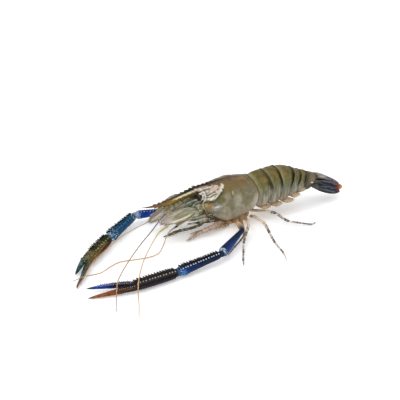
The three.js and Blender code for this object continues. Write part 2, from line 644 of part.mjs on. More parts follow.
add('eye_left', eye(-1), 'eye');
add('eye_right', eye(1), 'eye');
add('antennule_left', limb(ANTENNULE), 'scale');
add('antennule_right', limb(mirrored(ANTENNULE)), 'scale');
add('antenna_base_left', limb(ANTENNA_BASE), 'shell');
add('antenna_base_right', limb(mirrored(ANTENNA_BASE)), 'shell');
add('antennal_scale_left', limb(LEFT_SCALE, { sides: 10, roll: LEFT_SCALE_ROLL }), 'scale');
add('antennal_scale_right', limb(RIGHT_SCALE, { sides: 10, roll: RIGHT_SCALE_ROLL }), 'scale');
add('antennule_flagellum_left', feeler(LEFT_ANTENNULE_ROUTE), 'feeler');
add('antennule_flagellum_right', feeler(RIGHT_ANTENNULE_ROUTE), 'feeler');
add('antenna_left', feeler(LEFT_ANTENNA_ROUTE), 'feeler');
add('antenna_right', feeler(RIGHT_ANTENNA_ROUTE), 'feeler');

add('maxilliped_left', limb(LEFT_MAXILLIPED), 'leg');
add('maxilliped_right', limb(RIGHT_MAXILLIPED), 'leg');
add('first_leg_left', limb(LEFT_FIRST_LEG), 'leg');
add('first_leg_right', limb(RIGHT_FIRST_LEG), 'leg');
for (const [side, legs] of [['left', LEFT_WALKING_LEGS], ['right', RIGHT_WALKING_LEGS]]) {
  legs.forEach((stations, number) => add(`walking_leg_${side}_${number + 1}`, limb(stations), 'leg'));
}

addClaw(LEFT_CLAW, 'darkClaw', 'claw');
addClaw(RIGHT_CLAW, 'oliveClaw', 'claw');

export default prawn;
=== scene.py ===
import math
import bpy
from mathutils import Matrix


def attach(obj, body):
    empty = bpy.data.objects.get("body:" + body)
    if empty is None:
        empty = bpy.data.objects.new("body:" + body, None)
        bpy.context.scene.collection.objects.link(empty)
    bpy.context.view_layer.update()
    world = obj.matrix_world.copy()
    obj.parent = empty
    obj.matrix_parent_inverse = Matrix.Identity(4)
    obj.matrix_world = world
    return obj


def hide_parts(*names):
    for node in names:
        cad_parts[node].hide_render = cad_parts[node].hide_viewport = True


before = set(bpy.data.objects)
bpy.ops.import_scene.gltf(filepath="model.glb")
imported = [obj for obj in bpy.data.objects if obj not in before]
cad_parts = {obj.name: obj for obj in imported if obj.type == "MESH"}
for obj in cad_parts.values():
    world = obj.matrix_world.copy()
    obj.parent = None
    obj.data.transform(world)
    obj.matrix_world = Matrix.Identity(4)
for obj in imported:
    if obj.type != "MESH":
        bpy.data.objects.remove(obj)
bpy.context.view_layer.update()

# A raw freshwater prawn on a pale floor. Shapes are worked out in millimetres in the frame's own axes:
# +X runs to the tail, -Y is the animal's left side and +Z is up.

from types import SimpleNamespace

import bpy
import numpy as np
from mathutils import Vector, noise

rng = np.random.default_rng(7)
MM = 0.001
UP = np.array([0.0, 0.0, 1.0])
FRACTAL = (1.0, 2.1, 3)  # roughness, spacing and number of the noise's octaves
SEED_STEP = 17.3


# ---------------------------------------------------------------- numbers and colours

def lerp(a, b, t):
    return a + (b - a) * t


def fade(value, start, end):
    """Rises smoothly from 0 at start to 1 at end."""
    t = np.clip((value - start) / (end - start), 0, 1)
    return t * t * (3 - 2 * t)


def sink(value, start, end):
    """Falls smoothly from 1 at start to 0 at end."""
    return 1 - fade(value, start, end)


def peak(value, middle, width):
    """1 at the middle, falling smoothly to 0 a width away."""
    return sink(np.abs(value - middle), 0, width)


def stretch(value, a, b, c, d):
    """1 from b to c, falling smoothly to 0 at a and at d."""
    return fade(value, a, b) * sink(value, c, d)


def unit(vectors):
    vectors = np.asarray(vectors, float)
    return vectors / np.maximum(np.linalg.norm(vectors, axis=-1, keepdims=True), 1e-9)


def along(rows, x, column=1):
    """A smooth curve through rows of (x, value, ...), read at x."""
    table = sorted(tuple(row) for row in rows)
    xs = np.array([row[0] for row in table], float)
    ys = np.array([row[column] for row in table], float)
    slopes = np.empty_like(ys)
    slopes[1:-1] = (ys[2:] - ys[:-2]) / (xs[2:] - xs[:-2])
    slopes[0] = (ys[1] - ys[0]) / (xs[1] - xs[0])
    slopes[-1] = (ys[-1] - ys[-2]) / (xs[-1] - xs[-2])
    x = np.clip(x, xs[0], xs[-1])
    k = np.clip(np.searchsorted(xs, x) - 1, 0, len(xs) - 2)
    span = xs[k + 1] - xs[k]
    t = (x - xs[k]) / span
    return (
        (2 * t**3 - 3 * t**2 + 1) * ys[k] + (t**3 - 2 * t**2 + t) * span * slopes[k]
        + (3 * t**2 - 2 * t**3) * ys[k + 1] + (t**3 - t**2) * span * slopes[k + 1]
    )


def rgb(code):
    """A screen colour such as "8c8670" in linear light."""
    c = np.array([int(code[k:k + 2], 16) for k in (0, 2, 4)]) / 255
    return np.where(c <= 0.04045, c / 12.92, ((c + 0.055) / 1.055) ** 2.4)


def ramp(value, stops):
    """Colours for a value, from a text of stops: a value and its colour, and so on."""
    words = stops.split()
    xs = [float(word) for word in words[::2]]
    table = np.array([rgb(word) for word in words[1::2]])
    return np.stack([np.interp(value, xs, table[:, k]) for k in range(3)], -1)


def cloud(points, size, seed):
    """Smooth noise about 0, as features of a given size. Each seed reads it at another place."""
    flat = points.reshape(-1, 3) / np.asarray(size, float) + seed * SEED_STEP
    values = [noise.fractal(p, *FRACTAL) for p in flat.tolist()]
    return np.array(values).reshape(points.shape[:-1])


class Paint:
    """The colours of a surface: a ramp first, and then one dab over another."""

    def __init__(self, points, value, stops):
        self.both_sides = np.stack([points[..., 0], np.abs(points[..., 1]), points[..., 2]], -1)
        self.colours = ramp(value + 0 * points[..., 0], stops)

    def dab(self, colour, mask):
        self.colours += (rgb(colour) - self.colours) * np.clip(mask, 0, 1)[..., None]

    def spot(self, colour, centre, radii, strength=1.0, ragged=0.0, edge=0.5):
        """A soft oval patch on both sides of the body. ragged moves its outline."""
        reach = np.linalg.norm((self.both_sides - np.array(centre)) / np.array(radii), axis=-1)
        self.dab(colour, sink(reach + ragged, 1 - edge, 1 + edge) * strength)

    def spots(self, rows, ragged):
        """Spots from rows of colour, centre, radii, strength, share of ragged and edge."""
        for colour, centre, radii, strength, share, edge in rows:
            self.spot(colour, centre, radii, strength, ragged * share, edge)


# ---------------------------------------------------------------- meshes

def normals_of(points):
    rows = np.gradient(points, axis=0)
    around = np.roll(points, -1, axis=1) - np.roll(points, 1, axis=1)
    normal = unit(np.cross(around, rows))
    outward = points - points.mean(axis=1, keepdims=True)
    return normal * np.sign(np.sum(outward * normal))


SPIKE_PROFILE = ((0.0, 0.45, 0.97), (1.0, 0.62, 0.08))  # shares of the length, and of the radius there


class Shape:
    """Closed bodies gathered into one mesh, each with a colour at every point."""

    def __init__(self, points=None, colours=None):
        self.points, self.colours, self.faces = [], [], []
        self.count = 0
        if points is not None:
            self.skin(points, colours)

    def add(self, points, colours, faces):
        """faces are lists of corner numbers within these points."""
        self.points.append(points)
        self.colours.append(colours)
        self.faces.extend([[corner + self.count for corner in face] for face in faces])
        self.count += len(points)

    def skin(self, points, colours):
        """Rows run along the body and columns run round it. Both ends are closed."""
        rows, columns = points.shape[:2]
        colours = np.broadcast_to(colours, points.shape)
        index = np.arange(rows * columns).reshape(rows, columns)
        after = np.roll(index, -1, axis=1)
        quads = np.stack([index[:-1], after[:-1], after[1:], index[1:]], -1).reshape(-1, 4)
        first, last = rows * columns, rows * columns + 1
        ends = [[first, b, a] for a, b in zip(index[0], after[0])]
        ends += [[last, a, b] for a, b in zip(index[-1], after[-1])]
        flat = np.concatenate([points.reshape(-1, 3), [points[0].mean(0), points[-1].mean(0)]])
        tint = np.concatenate([colours.reshape(-1, 3), [colours[0].mean(0), colours[-1].mean(0)]])
        a, b, c, d = (flat[quads[:, k]] for k in range(4))
        volume = np.sum((np.cross(b - a, c - a) + np.cross(c - a, d - a)) * (a - flat.mean(0)))
        faces = quads.tolist() + ends
        self.add(flat, tint, faces if volume > 0 else [face[::-1] for face in faces])

    def spikes(self, bases, directions, radius, length, low, high, sides=5):
        """A tapered spike at each base. Radius, length and colours are one value or one for each."""
        bases = np.asarray(bases, float)
        number = len(bases)
        if not number:
            return
        directions = unit(directions) + np.zeros((number, 3))
        helper = np.where(np.abs(directions[:, 2:]) > 0.9, [[1.0, 0, 0]], [[0, 0, 1.0]])
        wide = unit(np.cross(directions, helper))[:, None, None]
        tall = np.cross(directions, wide[:, 0, 0])[:, None, None]
        angle = (np.arange(sides) / sides * 2 * math.pi)[None, None, :, None]
        share, girth = (np.array(column)[None, :, None, None] for column in SPIKE_PROFILE)
        radius, length = (np.broadcast_to(v, number)[:, None, None, None] for v in (radius, length))
        reach = share * length
        points = (
            bases[:, None, None] + directions[:, None, None] * reach
            + (wide * np.cos(angle) + tall * np.sin(angle)) * girth * radius
        )
        low, high = (np.broadcast_to(c, (number, 3))[:, None, None] for c in (low, high))
        colours = lerp(low, high, share) + 0 * points
        rings = np.arange(3 * sides).reshape(3, sides).tolist()
        faces = [rings[0][::-1], rings[2]]
        for lower, upper in zip(rings, rings[1:]):
            for k, m in zip(range(sides), [*range(1, sides), 0]):
                faces.append([lower[k], lower[m], upper[m], upper[k]])
        every = [[corner + 3 * sides * k for corner in face] for k in range(number) for face in faces]
        self.add(points.reshape(-1, 3), colours.reshape(-1, 3), every)

    def make(self, name, node, slot, look):
        mesh = bpy.data.meshes.new(name)
        colours = np.clip(np.concatenate(self.colours), 0, 1)
        mesh.from_pydata((np.concatenate(self.points) * MM).tolist(), [], self.faces)
        tint = mesh.color_attributes.new("tint", "FLOAT_COLOR", "POINT")
        rgba = np.concatenate([colours, np.ones((len(colours), 1))], 1)
        tint.data.foreach_set("color", rgba.astype(np.float32).ravel())
        mesh.polygons.foreach_set("use_smooth", [True] * len(mesh.polygons))
        mesh.materials.append(look)
        piece = bpy.data.objects.new(name, mesh)
        bpy.context.scene.collection.objects.link(piece)
        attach(piece, "root")
        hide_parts(node)


class Limb:
    """A limb through stations of (x, y, z, half width, half height), with rounded ends.

    s is the share of its length at every point. For a limb that points to the head, sine is 1 on
    its top and cosine is 1 on the animal's left. joints are the shares of its stations.
    """

    def __init__(self, stations, count, sides, roll=0.0):
        table = np.array([tuple(s) if len(s) == 5 else (*s, s[3]) for s in stations], float)
        travelled = np.concatenate([[0], np.cumsum(np.linalg.norm(np.diff(table[:, :3], axis=0), axis=1))])
        at = np.linspace(0, travelled[-1], count)
        columns = [along(list(zip(travelled, table[:, k])), at) for k in range(5)]
        path, girth = np.stack(columns[:3], 1), np.stack(columns[3:], 1)
        direction = unit(np.gradient(path, axis=0))
        turns = np.radians([22, 45, 66, 84])
        for end, sign, order in ((0, -1, turns[::-1]), (-1, 1, turns)):
            cap = path[end] + direction[end] * (sign * min(girth[end]) * 0.9 * np.sin(order))[:, None]
            narrow = girth[end] * np.cos(order)[:, None]
            same = np.repeat(direction[end][None], len(order), 0)
            path, girth, direction = (
                np.concatenate([new, old] if sign < 0 else [old, new])
                for old, new in ((path, cap), (girth, narrow), (direction, same)))
        up = unit(UP - direction * (direction @ UP)[:, None])
        side = np.cross(up, direction)
        tall = up * math.cos(roll) - side * math.sin(roll)
        wide = side * math.cos(roll) + up * math.sin(roll)
        angle = np.arange(sides) / sides * 2 * math.pi
        self.sides = sides
        self.share = np.concatenate([np.zeros(len(turns)), at / at[-1], np.ones(len(turns))])
        self.s = np.repeat(self.share[:, None], sides, 1)
        self.sine, self.cosine = np.sin(angle) + 0 * self.s, np.cos(angle) + 0 * self.s
        self.joints = travelled / travelled[-1]
        self.points = (
            path[:, None] + wide[:, None] * (girth[:, :1] * np.cos(angle))[..., None]
            + tall[:, None] * (girth[:, 1:] * np.sin(angle))[..., None]
        )

    def swell(self, amount):
        self.points = self.points + normals_of(self.points) * amount[..., None]

    def paint(self, stops):
        return Paint(self.points, self.s, stops)

    @property
    def centre(self):
        return self.points.mean(axis=1)


def bristles(shape, limb, count, span, reach, tone, columns=None, out=0.6, ahead=1.0, radius=0.09):
    """Hairs on a limb between two shares of its length, from columns of its skin or from any."""
    rows = rng.integers(int(len(limb.share) * span[0]), int(len(limb.share) * span[1]), count)
    columns = rng.choice(limb.sides if columns is None else columns, count)
    spot, centre = limb.points[rows, columns], limb.centre
    away = unit(spot - centre[rows])
    lean = unit(away * out + unit(np.gradient(centre, axis=0))[rows] * ahead + rng.normal(0, 0.1, (count, 3)))
    length = rng.uniform(*reach, count)
    clear = spot[:, 2] + np.minimum(lean[:, 2], 0) * length > 0.15
    low, high = (rgb(colour) for colour in tone)
    shape.spikes((spot - away * 0.2)[clear], lean[clear], radius, length[clear], low, high, 3)


def on_side(stations, side):
    """Stations of the animal's left, mirrored for its right, where side is 1."""
    return [(s[0], -s[1], *s[2:]) for s in stations] if side > 0 else stations


def word_of(side):
    return "right" if side > 0 else "left"


# ---------------------------------------------------------------- materials

def wet(name, roughness, coat, grain, mottle, bump, gloss=0.4, soft=0.0, patch=0.008):
    """A wet surface: its painted tint broken up by noise, with uneven gloss and a fine relief.

    grain is the size of the relief in metres, and patch the size of the mottling.
    """
    look = bpy.data.materials.new(name)
    look.use_nodes = True
    tree = look.node_tree
    shader = tree.nodes["Principled BSDF"]
    place = tree.nodes.new("ShaderNodeTexCoord").outputs["Object"]

    def noise_of(size, detail):
        made = tree.nodes.new("ShaderNodeTexNoise")
        made.inputs["Scale"].default_value = 1 / size
        made.inputs["Detail"].default_value = detail
        tree.links.new(place, made.inputs["Vector"])
        return made.outputs["Fac"]

    def spread(source, low, high):
        made = tree.nodes.new("ShaderNodeMapRange")
        for key, value in zip(("From Min", "From Max", "To Min", "To Max"), (0.3, 0.7, low, high)):
            made.inputs[key].default_value = value
        tree.links.new(source, made.inputs["Value"])
        return made.outputs["Result"]

    broad, fine = noise_of(patch, 4.0), noise_of(grain, 3.0)
    shades = tree.nodes.new("ShaderNodeMath")
    shades.operation = "MULTIPLY"
    tree.links.new(spread(broad, 1 - mottle, 1 + mottle), shades.inputs[0])
    tree.links.new(spread(fine, 1 - mottle * 0.7, 1 + mottle * 0.7), shades.inputs[1])
    tint = tree.nodes.new("ShaderNodeAttribute")
    tint.attribute_name = "tint"
    scaled = tree.nodes.new("ShaderNodeVectorMath")
    scaled.operation = "SCALE"
    tree.links.new(tint.outputs["Color"], scaled.inputs[0])
    tree.links.new(shades.outputs[0], scaled.inputs["Scale"])
    tree.links.new(scaled.outputs[0], shader.inputs["Base Color"])
    tree.links.new(spread(broad, roughness - 0.1, roughness + 0.12), shader.inputs["Roughness"])
    relief = tree.nodes.new("ShaderNodeBump")
    relief.inputs["Strength"].default_value = bump
    relief.inputs["Distance"].default_value = 0.0004
    tree.links.new(fine, relief.inputs["Height"])
    tree.links.new(relief.outputs["Normal"], shader.inputs["Normal"])
    shader.inputs["Specular IOR Level"].default_value = gloss
    shader.inputs["Coat Weight"].default_value = coat
    shader.inputs["Coat Roughness"].default_value = 0.12
    shader.inputs["Subsurface Weight"].default_value = soft
    shader.inputs["Subsurface Radius"].default_value = (0.004, 0.0025, 0.0015)
    shader.inputs["Subsurface Scale"].default_value = 1.0
    return look


SHELL = wet("wet_shell", 0.36, 0.08, 0.0009, 0.12, 0.4, gloss=0.2)
RING = wet("wet_rings", 0.42, 0.03, 0.0009, 0.16, 0.4, gloss=0.1, patch=0.006)
FLESH = wet("moist_flesh", 0.45, 0.1, 0.0006, 0.14, 0.4, soft=0.15, patch=0.005)
FAN = wet("wet_fan", 0.36, 0.04, 0.0006, 0.15, 0.3, gloss=0.12, patch=0.005)
EYE = wet("wet_eye", 0.2, 0.3, 0.0003, 0.1, 0.15, gloss=0.3, patch=0.003)
SCALE = wet("moist_scales", 0.38, 0.2, 0.0006, 0.12, 0.4, soft=0.15, patch=0.004)
FEELER = wet("feelers", 0.45, 0.0, 0.0004, 0.14, 0.3)
LEG = wet("moist_legs", 0.38, 0.2, 0.0005, 0.14, 0.3, soft=0.15, patch=0.005)
CLAW = wet("wet_claws", 0.34, 0.0, 0.0007, 0.2, 0.5, gloss=0.07, patch=0.004)


# ---------------------------------------------------------------- carapace and rostrum

BACK_LINE = [
    (-38, 43.6), (-25, 45.0), (-10, 46.0), (6, 46.2), (19.5, 45.0), (35, 47.2),
    (48, 48.2), (57, 47.2), (66, 43.8), (75, 39.4), (81.5, 37.0), (94.5, 31.2),
]
CARAPACE_FRONT = [
    (0, -19), (0.15, -26), (0.35, -30.5), (0.58, -33.5), (0.72, -30.8), (0.86, -30.4), (1, -38),
]
CARAPACE_REAR = [(0, 11), (0.15, 16), (0.3, 20), (0.5, 23), (0.7, 23.4), (0.9, 21), (1, 19.5)]
CARAPACE_HALF_WIDTH = [(0, 10.5), (0.2, 13.8), (0.45, 16.4), (0.7, 17.2), (1, 15.8)]
WIDEST_HEIGHT = 0.45


def carapace_points(share, angle, size, shift):
    """One row at each share, drawn towards its own middle by size and moved along X by shift."""
    share, size, shift = (np.asarray(v, float)[:, None] for v in (share, size, shift))
    front, rear = np.maximum(0, 1 - share * 2), np.maximum(0, share * 2 - 1)
    low = 5.4 + 8.1 * front**2 + 4.1 * rear**2
    top = along(BACK_LINE, lerp(-38, 19.5, share))
    half = along(CARAPACE_HALF_WIDTH, share)
    sine, cosine = np.sin(angle)[None], np.cos(angle)[None]
    height = np.where(
        sine > 0,
        WIDEST_HEIGHT + (1 - WIDEST_HEIGHT) * np.abs(sine) ** 0.95,
        WIDEST_HEIGHT - WIDEST_HEIGHT * np.abs(sine) ** 0.8,
    )
    y = half * np.sign(cosine) * np.abs(cosine) ** 0.85
    z = lerp(low, top, height)
    x = lerp(along(CARAPACE_FRONT, height), along(CARAPACE_REAR, height), share)
    points = np.stack([x + shift + 0 * y, y * size, lerp(lerp(low, top, 0.5), z, size)], -1)
    return points, height + 0 * share


def lipped(outer, front, rear):
    """Shares, sizes and shifts of a plate whose two ends, as (size, shift), turn inward."""
    share = np.concatenate([np.full(len(front), outer[0]), outer, np.full(len(rear), outer[-1])])
    ends = np.array([*front, *[(1.0, 0.0)] * len(outer), *rear])
    return share, ends[:, 0], ends[:, 1]


# Top and low lines of the painted wet reflection behind the eye.
PATCH_TOP = [(-34, 43.6), (-30, 44.4), (-24.6, 44.9), (-18, 44.4), (-10.6, 44.4)]  # x and height
PATCH_LOW = [(-34, 34.4), (-28, 33.6), (-21.7, 34.2), (-17, 37.8), (-14, 40.2), (-10.6, 43.6)]
NECK_GROOVE = [(16, -24), (24, -16), (32, -5.5), (38, 0), (44, 5)]  # height and x
REAR_ARCS = (0.89, 0.955)
CHEEK = [-19, 0, 27.5]
EYE_X, EYE_HEIGHT = -35.5, 38
SIDE_SPOTS = [  # colour, centre, radii, strength, raggedness, softness of the edge
    ("7a6640", (-3, 8, 43.5), (17, 7, 5), 0.5, 1, 0.5),
    ("9a8e7a", (-8.8, 14.4, 34), (3.4, 6, 5), 0.7, 1, 0.5),
    ("a09e88", (0.6, 16.4, 30), (5, 7, 6), 0.65, 1.5, 0.9),
    ("6c6240", (10, 16.6, 28.5), (5, 6, 5), 0.65, 1, 0.5),
    ("66603c", (-6, 16, 27), (3.4, 6, 6), 0.6, 1, 0.5),
    ("6e7062", (12.5, 14, 37.5), (6.5, 6, 3.8), 0.5, 1, 0.8),
    ("a49a86", (-6, 15, 16), (12, 8, 5), 0.35, 1, 0.5),
    ("948672", (8, 15, 18), (7, 8, 4), 0.5, 1, 0.5),
]
BACK_SPOTS = [
    ("8e6830", (7.5, 4.4, 45.4), (8, 2.2, 2.6), 0.75, 1.2, 0.6),
    ("786034", (-6, 5, 45), (9, 2.4, 2.6), 0.5, 1, 0.6),
    ("4a3422", (3, 0, 46.6), (20, 1.6, 3), 0.8, 0.5, 0.4),
]
# Cheek marks; the last row is painted shade under the cheek's painted highlight.
CHEEK_SPOTS = [
    ("5c5a30", (-15.5, 14, 33), (4.5, 5, 2.4), 0.75, 1, 0.5),
    ("a07a40", (-27.6, 12, 28.4), (3.4, 5, 4), 0.8, 1.2, 0.7),
    ("bca878", (-30.2, 11, 29.5), (1.8, 4, 3.4), 0.7, 1, 0.6),
    ("66604e", (-18.5, 14.5, 24.8), (4, 5, 1.2), 0.6, 1, 0.5),
]
# The cheek's painted glint with a darker line beside it, then a thin pale streak higher up.
GLINT_SPOTS = [
    ("70706a", (-18.8, 14.1, 26), (2.2, 5, 0.5), 0.8, 1, 0.6),
    ("e0e6ea", (-20.4, 14.1, 27.2), (2, 5, 0.6), 0.9, 1, 0.5),
    ("dcccb0", (-3.5, 13.6, 37.6), (0.38, 5, 2), 0.75, 0.4, 0.5),
]


def torn_reflection(points, ragged):
    """The painted wet reflection on the shell behind the eye lies between two lines, with a darker leaf
    inside it.
    """
    x, z, side = points[..., 0], points[..., 2], np.abs(points[..., 1])
    torn = cloud(points, (2.6, 3, 1.8), 7) * 1.5
    top = along(PATCH_TOP, x) - (ragged + torn) * fade(x, -30, -20)
    low = along(PATCH_LOW, x) + ragged + torn
    inside = fade(z, low - 0.4, low + 0.4) * sink(z, top - 0.5, top + 0.5)
    inside = inside * fade(-x, 9.6, 11) * fade(side, 1.6, 2.8)
    return SimpleNamespace(
        torn=torn, inside=inside, above=z - low,
        upper_line=peak(z, top - 1.9, 0.8) * inside * fade(-x, 22, 25),
        rim=peak(z, low + 0.8, 1.1 + 0.4 * torn) * inside,
        leaf=inside * fade(-x, 17, 21) * peak(z - 0.12 * (x + 24), 38.2, 3),
        folds=0.5 + 0.5 * np.sin(z * 2.9 - x * 0.8 + cloud(points, (7, 5, 3), 5) * 5),
    )


# Pale colour for the painted wet reflection behind the eye, broken by darker folds, a leaf, a ring round the
# eye and a line near its top.
def paint_reflection(coat, patch, x, z):
    inside, above, folds = patch.inside, patch.above, patch.folds
    from_eye = np.hypot(x - EYE_X, z - EYE_HEIGHT)
    coat.dab("cdbfae", inside)
    coat.dab("c4aa9a", inside * fade(above, 2, 4) * 0.7)
    coat.dab("3e3626", inside * fade(folds, 0.72, 0.96) * sink(above, 4.5, 6.5) * fade(-x, 12.5, 15.5) * 0.9)
    coat.dab("7c6c54", inside * fade(folds, 0.6, 0.9) * fade(above, 4.5, 6.5) * 0.6)
    coat.dab("e2dac8", inside * fade(-folds, -0.3, -0.05) * fade(-x, 16, 20) * 0.7)
    coat.dab("4c4628", fade(patch.leaf, 0.1, 0.6) * (0.45 + 0.5 * fade(folds, 0.3, 0.7)))
    coat.dab("dcd8c4", patch.leaf * fade(-folds, -0.25, -0.05) * 0.8)
    coat.dab("dfe0d0", patch.rim)
    coat.dab("4a4434", peak(from_eye, 7.8, 0.8) * inside * 0.7)
    coat.dab("ece6da", peak(from_eye, 6.2, 1.2 + 0.5 * patch.torn) * inside * 0.8)
    coat.dab("443c2c", patch.upper_line * 0.9)


def carapace():
    outer = [np.linspace(0, 0.06, 12)[:-1], np.linspace(0.06, 0.94, 120), np.linspace(0.94, 1, 14)[1:]]
    share, size, shift = lipped(
        np.concatenate(outer), [(0.5, 4.5), (0.8, 4.5), (0.92, 3), (0.955, 1), (0.972, 0.1), (0.988, -0.25)],
        [(0.99, 0.3), (0.975, 0.2), (0.955, -0.6), (0.9, -2.5), (0.6, -2.5)])
    angle = np.linspace(0, 2 * math.pi, 220, endpoint=False)
    points, height = carapace_points(share, angle, size, shift)
    share = share[:, None] + 0 * height
    outside = (size > 0.999)[:, None] * (height > 0.01)
    x, z, side = points[..., 0], points[..., 2], np.abs(points[..., 1])
    ragged = cloud(points, 5, 4) * 0.5
    patch = torn_reflection(points, ragged)

    groove = peak(x, along(NECK_GROOVE, z), 4.2) * fade(z, 18, 24) * fade(side, 3, 8)
    rim = np.maximum(peak(share, 0.012, 0.022), peak(height, 0.035, 0.05) * 0.8)
    arcs = sum(peak(share, at + 0.006 * ragged, 0.008) for at in REAR_ARCS) * fade(height, 0.8, 0.95)
    keel = peak(side, 0, 2.6) * fade(-x, -4, 14) * fade(z, 38, 42)
    hump = peak(x, -3, 24) * fade(height, 0.72, 0.98)
    cheek = sink(np.linalg.norm((points - CHEEK) * [0.16, 0, 0.24], axis=-1), 0.4, 1.6)
    relief = (
        cloud(points, 11, 1) * 0.6 + cloud(points, 3.2, 2) * 0.14 - 0.4 * groove + 0.35 * rim - 0.15 * arcs
        + 0.6 * cheek + 0.6 * keel + 1.3 * hump + 0.45 * patch.rim - 0.3 * patch.leaf
        - 0.18 * patch.inside * patch.folds
    )
    points = points + normals_of(points) * (relief * outside)[..., None]

    coat = Paint(points, height, "0 96704e .05 aa8c6c .12 968a72 .3 928872 .45 8c8670 .6 7e7860 "
                                 ".72 786c4e .84 76683c .93 6c5a34 1 503c28")
    mottle = cloud(points, 3.5, 6)
    coat.dab("b0a690", fade(mottle, 0.05, 0.5) * 0.45 * sink(height, 0.6, 0.9))
    coat.dab("665c3e", fade(-mottle, 0.05, 0.5) * 0.5)
    coat.dab("5c4c28", fade(cloud(points, (6, 2, 3), 9), 0.02, 0.4) * fade(height, 0.66, 0.85) * 0.45)
    coat.spots(SIDE_SPOTS, ragged)
    coat.dab("645e46", groove * 0.4)
    coat.dab("b4a896", fade(share, 0.86, 0.95) * peak(z, 26, 11) * 0.8)
    coat.spots(BACK_SPOTS, ragged)
    # painted wet reflection on the shell behind the eye
    paint_reflection(coat, patch, x, z)
    coat.spots(CHEEK_SPOTS, ragged)
    # painted highlight on the cheek
    coat.spot("bcc2c4", (-19.3, 14.1, 26.2), (3.4, 5, 2), 0.85, ragged * 1.2 + patch.torn * 0.4, 0.6)
    coat.spots(GLINT_SPOTS, ragged)
    coat.dab("2e3824", peak(patch.above, -1.4, 1.8) * fade(-x, 10, 14) * fade(side, 5, 9) * 0.95)
    coat.dab("d0c49e", peak(share, 0.013, 0.013) * (height < 0.72) * 0.85)
    coat.dab("4a402c", peak(share, 0.036, 0.014) * (height < 0.7) * 0.8)
    coat.dab("c2a080", peak(height, 0.055, 0.03) * 0.6)
    coat.dab("1e1810", peak(side, 0, 2.8) * fade(-x, 8, 15) * fade(z, 41, 43.5))
    coat.dab("b0a47c", arcs * 0.55)
    coat.dab("4a4828", fade(share, 0.982, 0.992) * 0.85)
    coat.dab("5e4434", sink(size, 0.93, 0.985)[:, None] + 0 * height)
    coat.dab("4c3828", sink(height, 0.008, 0.03))
    shape = Shape(points, coat.colours)
    for way in (-1, 1):
        spine, ahead = (-32.6, way * 12.6, 31), (-1, way * 0.15, 0.05)
        shape.spikes([spine], [ahead], 0.7, 3.4, rgb("a08850"), rgb("dcd0aa"), 8)
    shape.make("carapace_shell", "carapace", "shell", SHELL)


ROSTRUM_LINE = [
    (-2, 45.6, 41, 1.6), (-20, 46.0, 38, 2.6), (-38, 44.6, 35.4, 2.6), (-48, 42.0, 33.8, 2.4),
    (-59, 38.8, 31.4, 2.0), (-71, 35.8, 31.6, 1.5), (-82, 34.6, 33.0, 0.9), (-89, 35.2, 34.7, 0.25),
]  # x, upper edge, lower edge, half width
TOOTH_PITCH = 4.4
RIB_HEIGHT = 0.42  # of the side rib, as a share of the blade's height


def teeth(x, first, count, height):
    """Teeth of the beak's edge, as rises above it, from the first x forward."""
    steps = (first - x) / TOOTH_PITCH
    phase = steps - np.floor(steps)
    profile = np.where(phase < 0.8, (phase / 0.8) ** 1.6, (1 - phase) / 0.2)
    return height * profile * (steps >= 0) * (steps < count)


def rostrum():
    x = np.linspace(-3, -89, 300)[:, None]
    crest, keel = along(ROSTRUM_LINE, x), along(ROSTRUM_LINE, x, 2)
    top = crest + teeth(x, -12, 15, 1.6) * sink(-x, 74, 88)
    bottom = keel - teeth(x, -46, 7, 1.1)
    middle = lerp(bottom, top, RIB_HEIGHT)
    half = 24
    rise = np.concatenate([np.linspace(a, -a, half, endpoint=False) for a in (-1, 1)])[None]
    left = np.repeat([[-1.0, 1.0]], half, 1)
    width = 0.16 * (1 - rise**8) + 0.5 * (1 - np.abs(rise)) ** 0.8 + 0.42 * np.exp(-((rise / 0.16) ** 2))
    z = np.where(rise > 0, lerp(middle, top, rise), lerp(middle, bottom, -rise))
    points = np.stack([x + 0 * z, left * along(ROSTRUM_LINE, x, 3) * width, z], -1)
    points[..., 1] += cloud(points, 4, 3) * 0.08
    reach = -x + 0 * rise
    rib = lerp(keel, crest, RIB_HEIGHT)
    up = np.clip((z - rib) / np.where(rise > 0, crest - rib, rib - keel), -1, 1)
    coat = Paint(points, reach, "0 705c3c 30 7a6a42 40 746030 48 8a6e26 60 8c6c22 72 80602e "
                                "80 76543c 89 8c7470")
    coat.dab("4e3c16", fade(cloud(points, (6, 2, 1.4), 6), 0.0, 0.35) * 0.6)
    coat.dab("a88632", fade(-cloud(points, (8, 2, 1.4), 7), 0.05, 0.4) * fade(reach, 44, 54) * 0.5)
    coat.dab("3e3a22", peak(up, 0.05, 0.2) * stretch(reach, 22, 28, 52, 62) * 0.8)
    coat.dab("e6dab0", fade(peak(up, 0.4, 0.26), 0.1, 0.6) * stretch(reach, 20, 28, 52, 62))
    edge = lerp(0.52, 0.68, fade(reach, 46, 60))
    coat.dab("181410", fade(up, edge, edge + 0.12) * sink(reach, 80, 89))
    coat.dab("8e8284", fade(up, 0.9, 0.99) * fade(reach, 44, 52) * 0.5)
    coat.dab("3a301e", fade(-up, 0.7, 0.9) * 0.7)
    shape = Shape(points, coat.colours)
    count = 150
    at = rng.uniform(-84, -34, count)
    bases = np.stack([at, rng.normal(0, 0.12, count), along(ROSTRUM_LINE, at) - 0.2], -1)
    lean = np.stack([np.full(count, -0.9), rng.normal(0, 0.1, count), np.full(count, 0.7)], -1)
    shape.spikes(bases, lean, 0.08, rng.uniform(1.0, 1.7, count), rgb("50443a"), rgb("94888a"), 3)
    shape.make("rostrum_blade", "carapace", "shell", SHELL)


# ---------------------------------------------------------------- abdomen

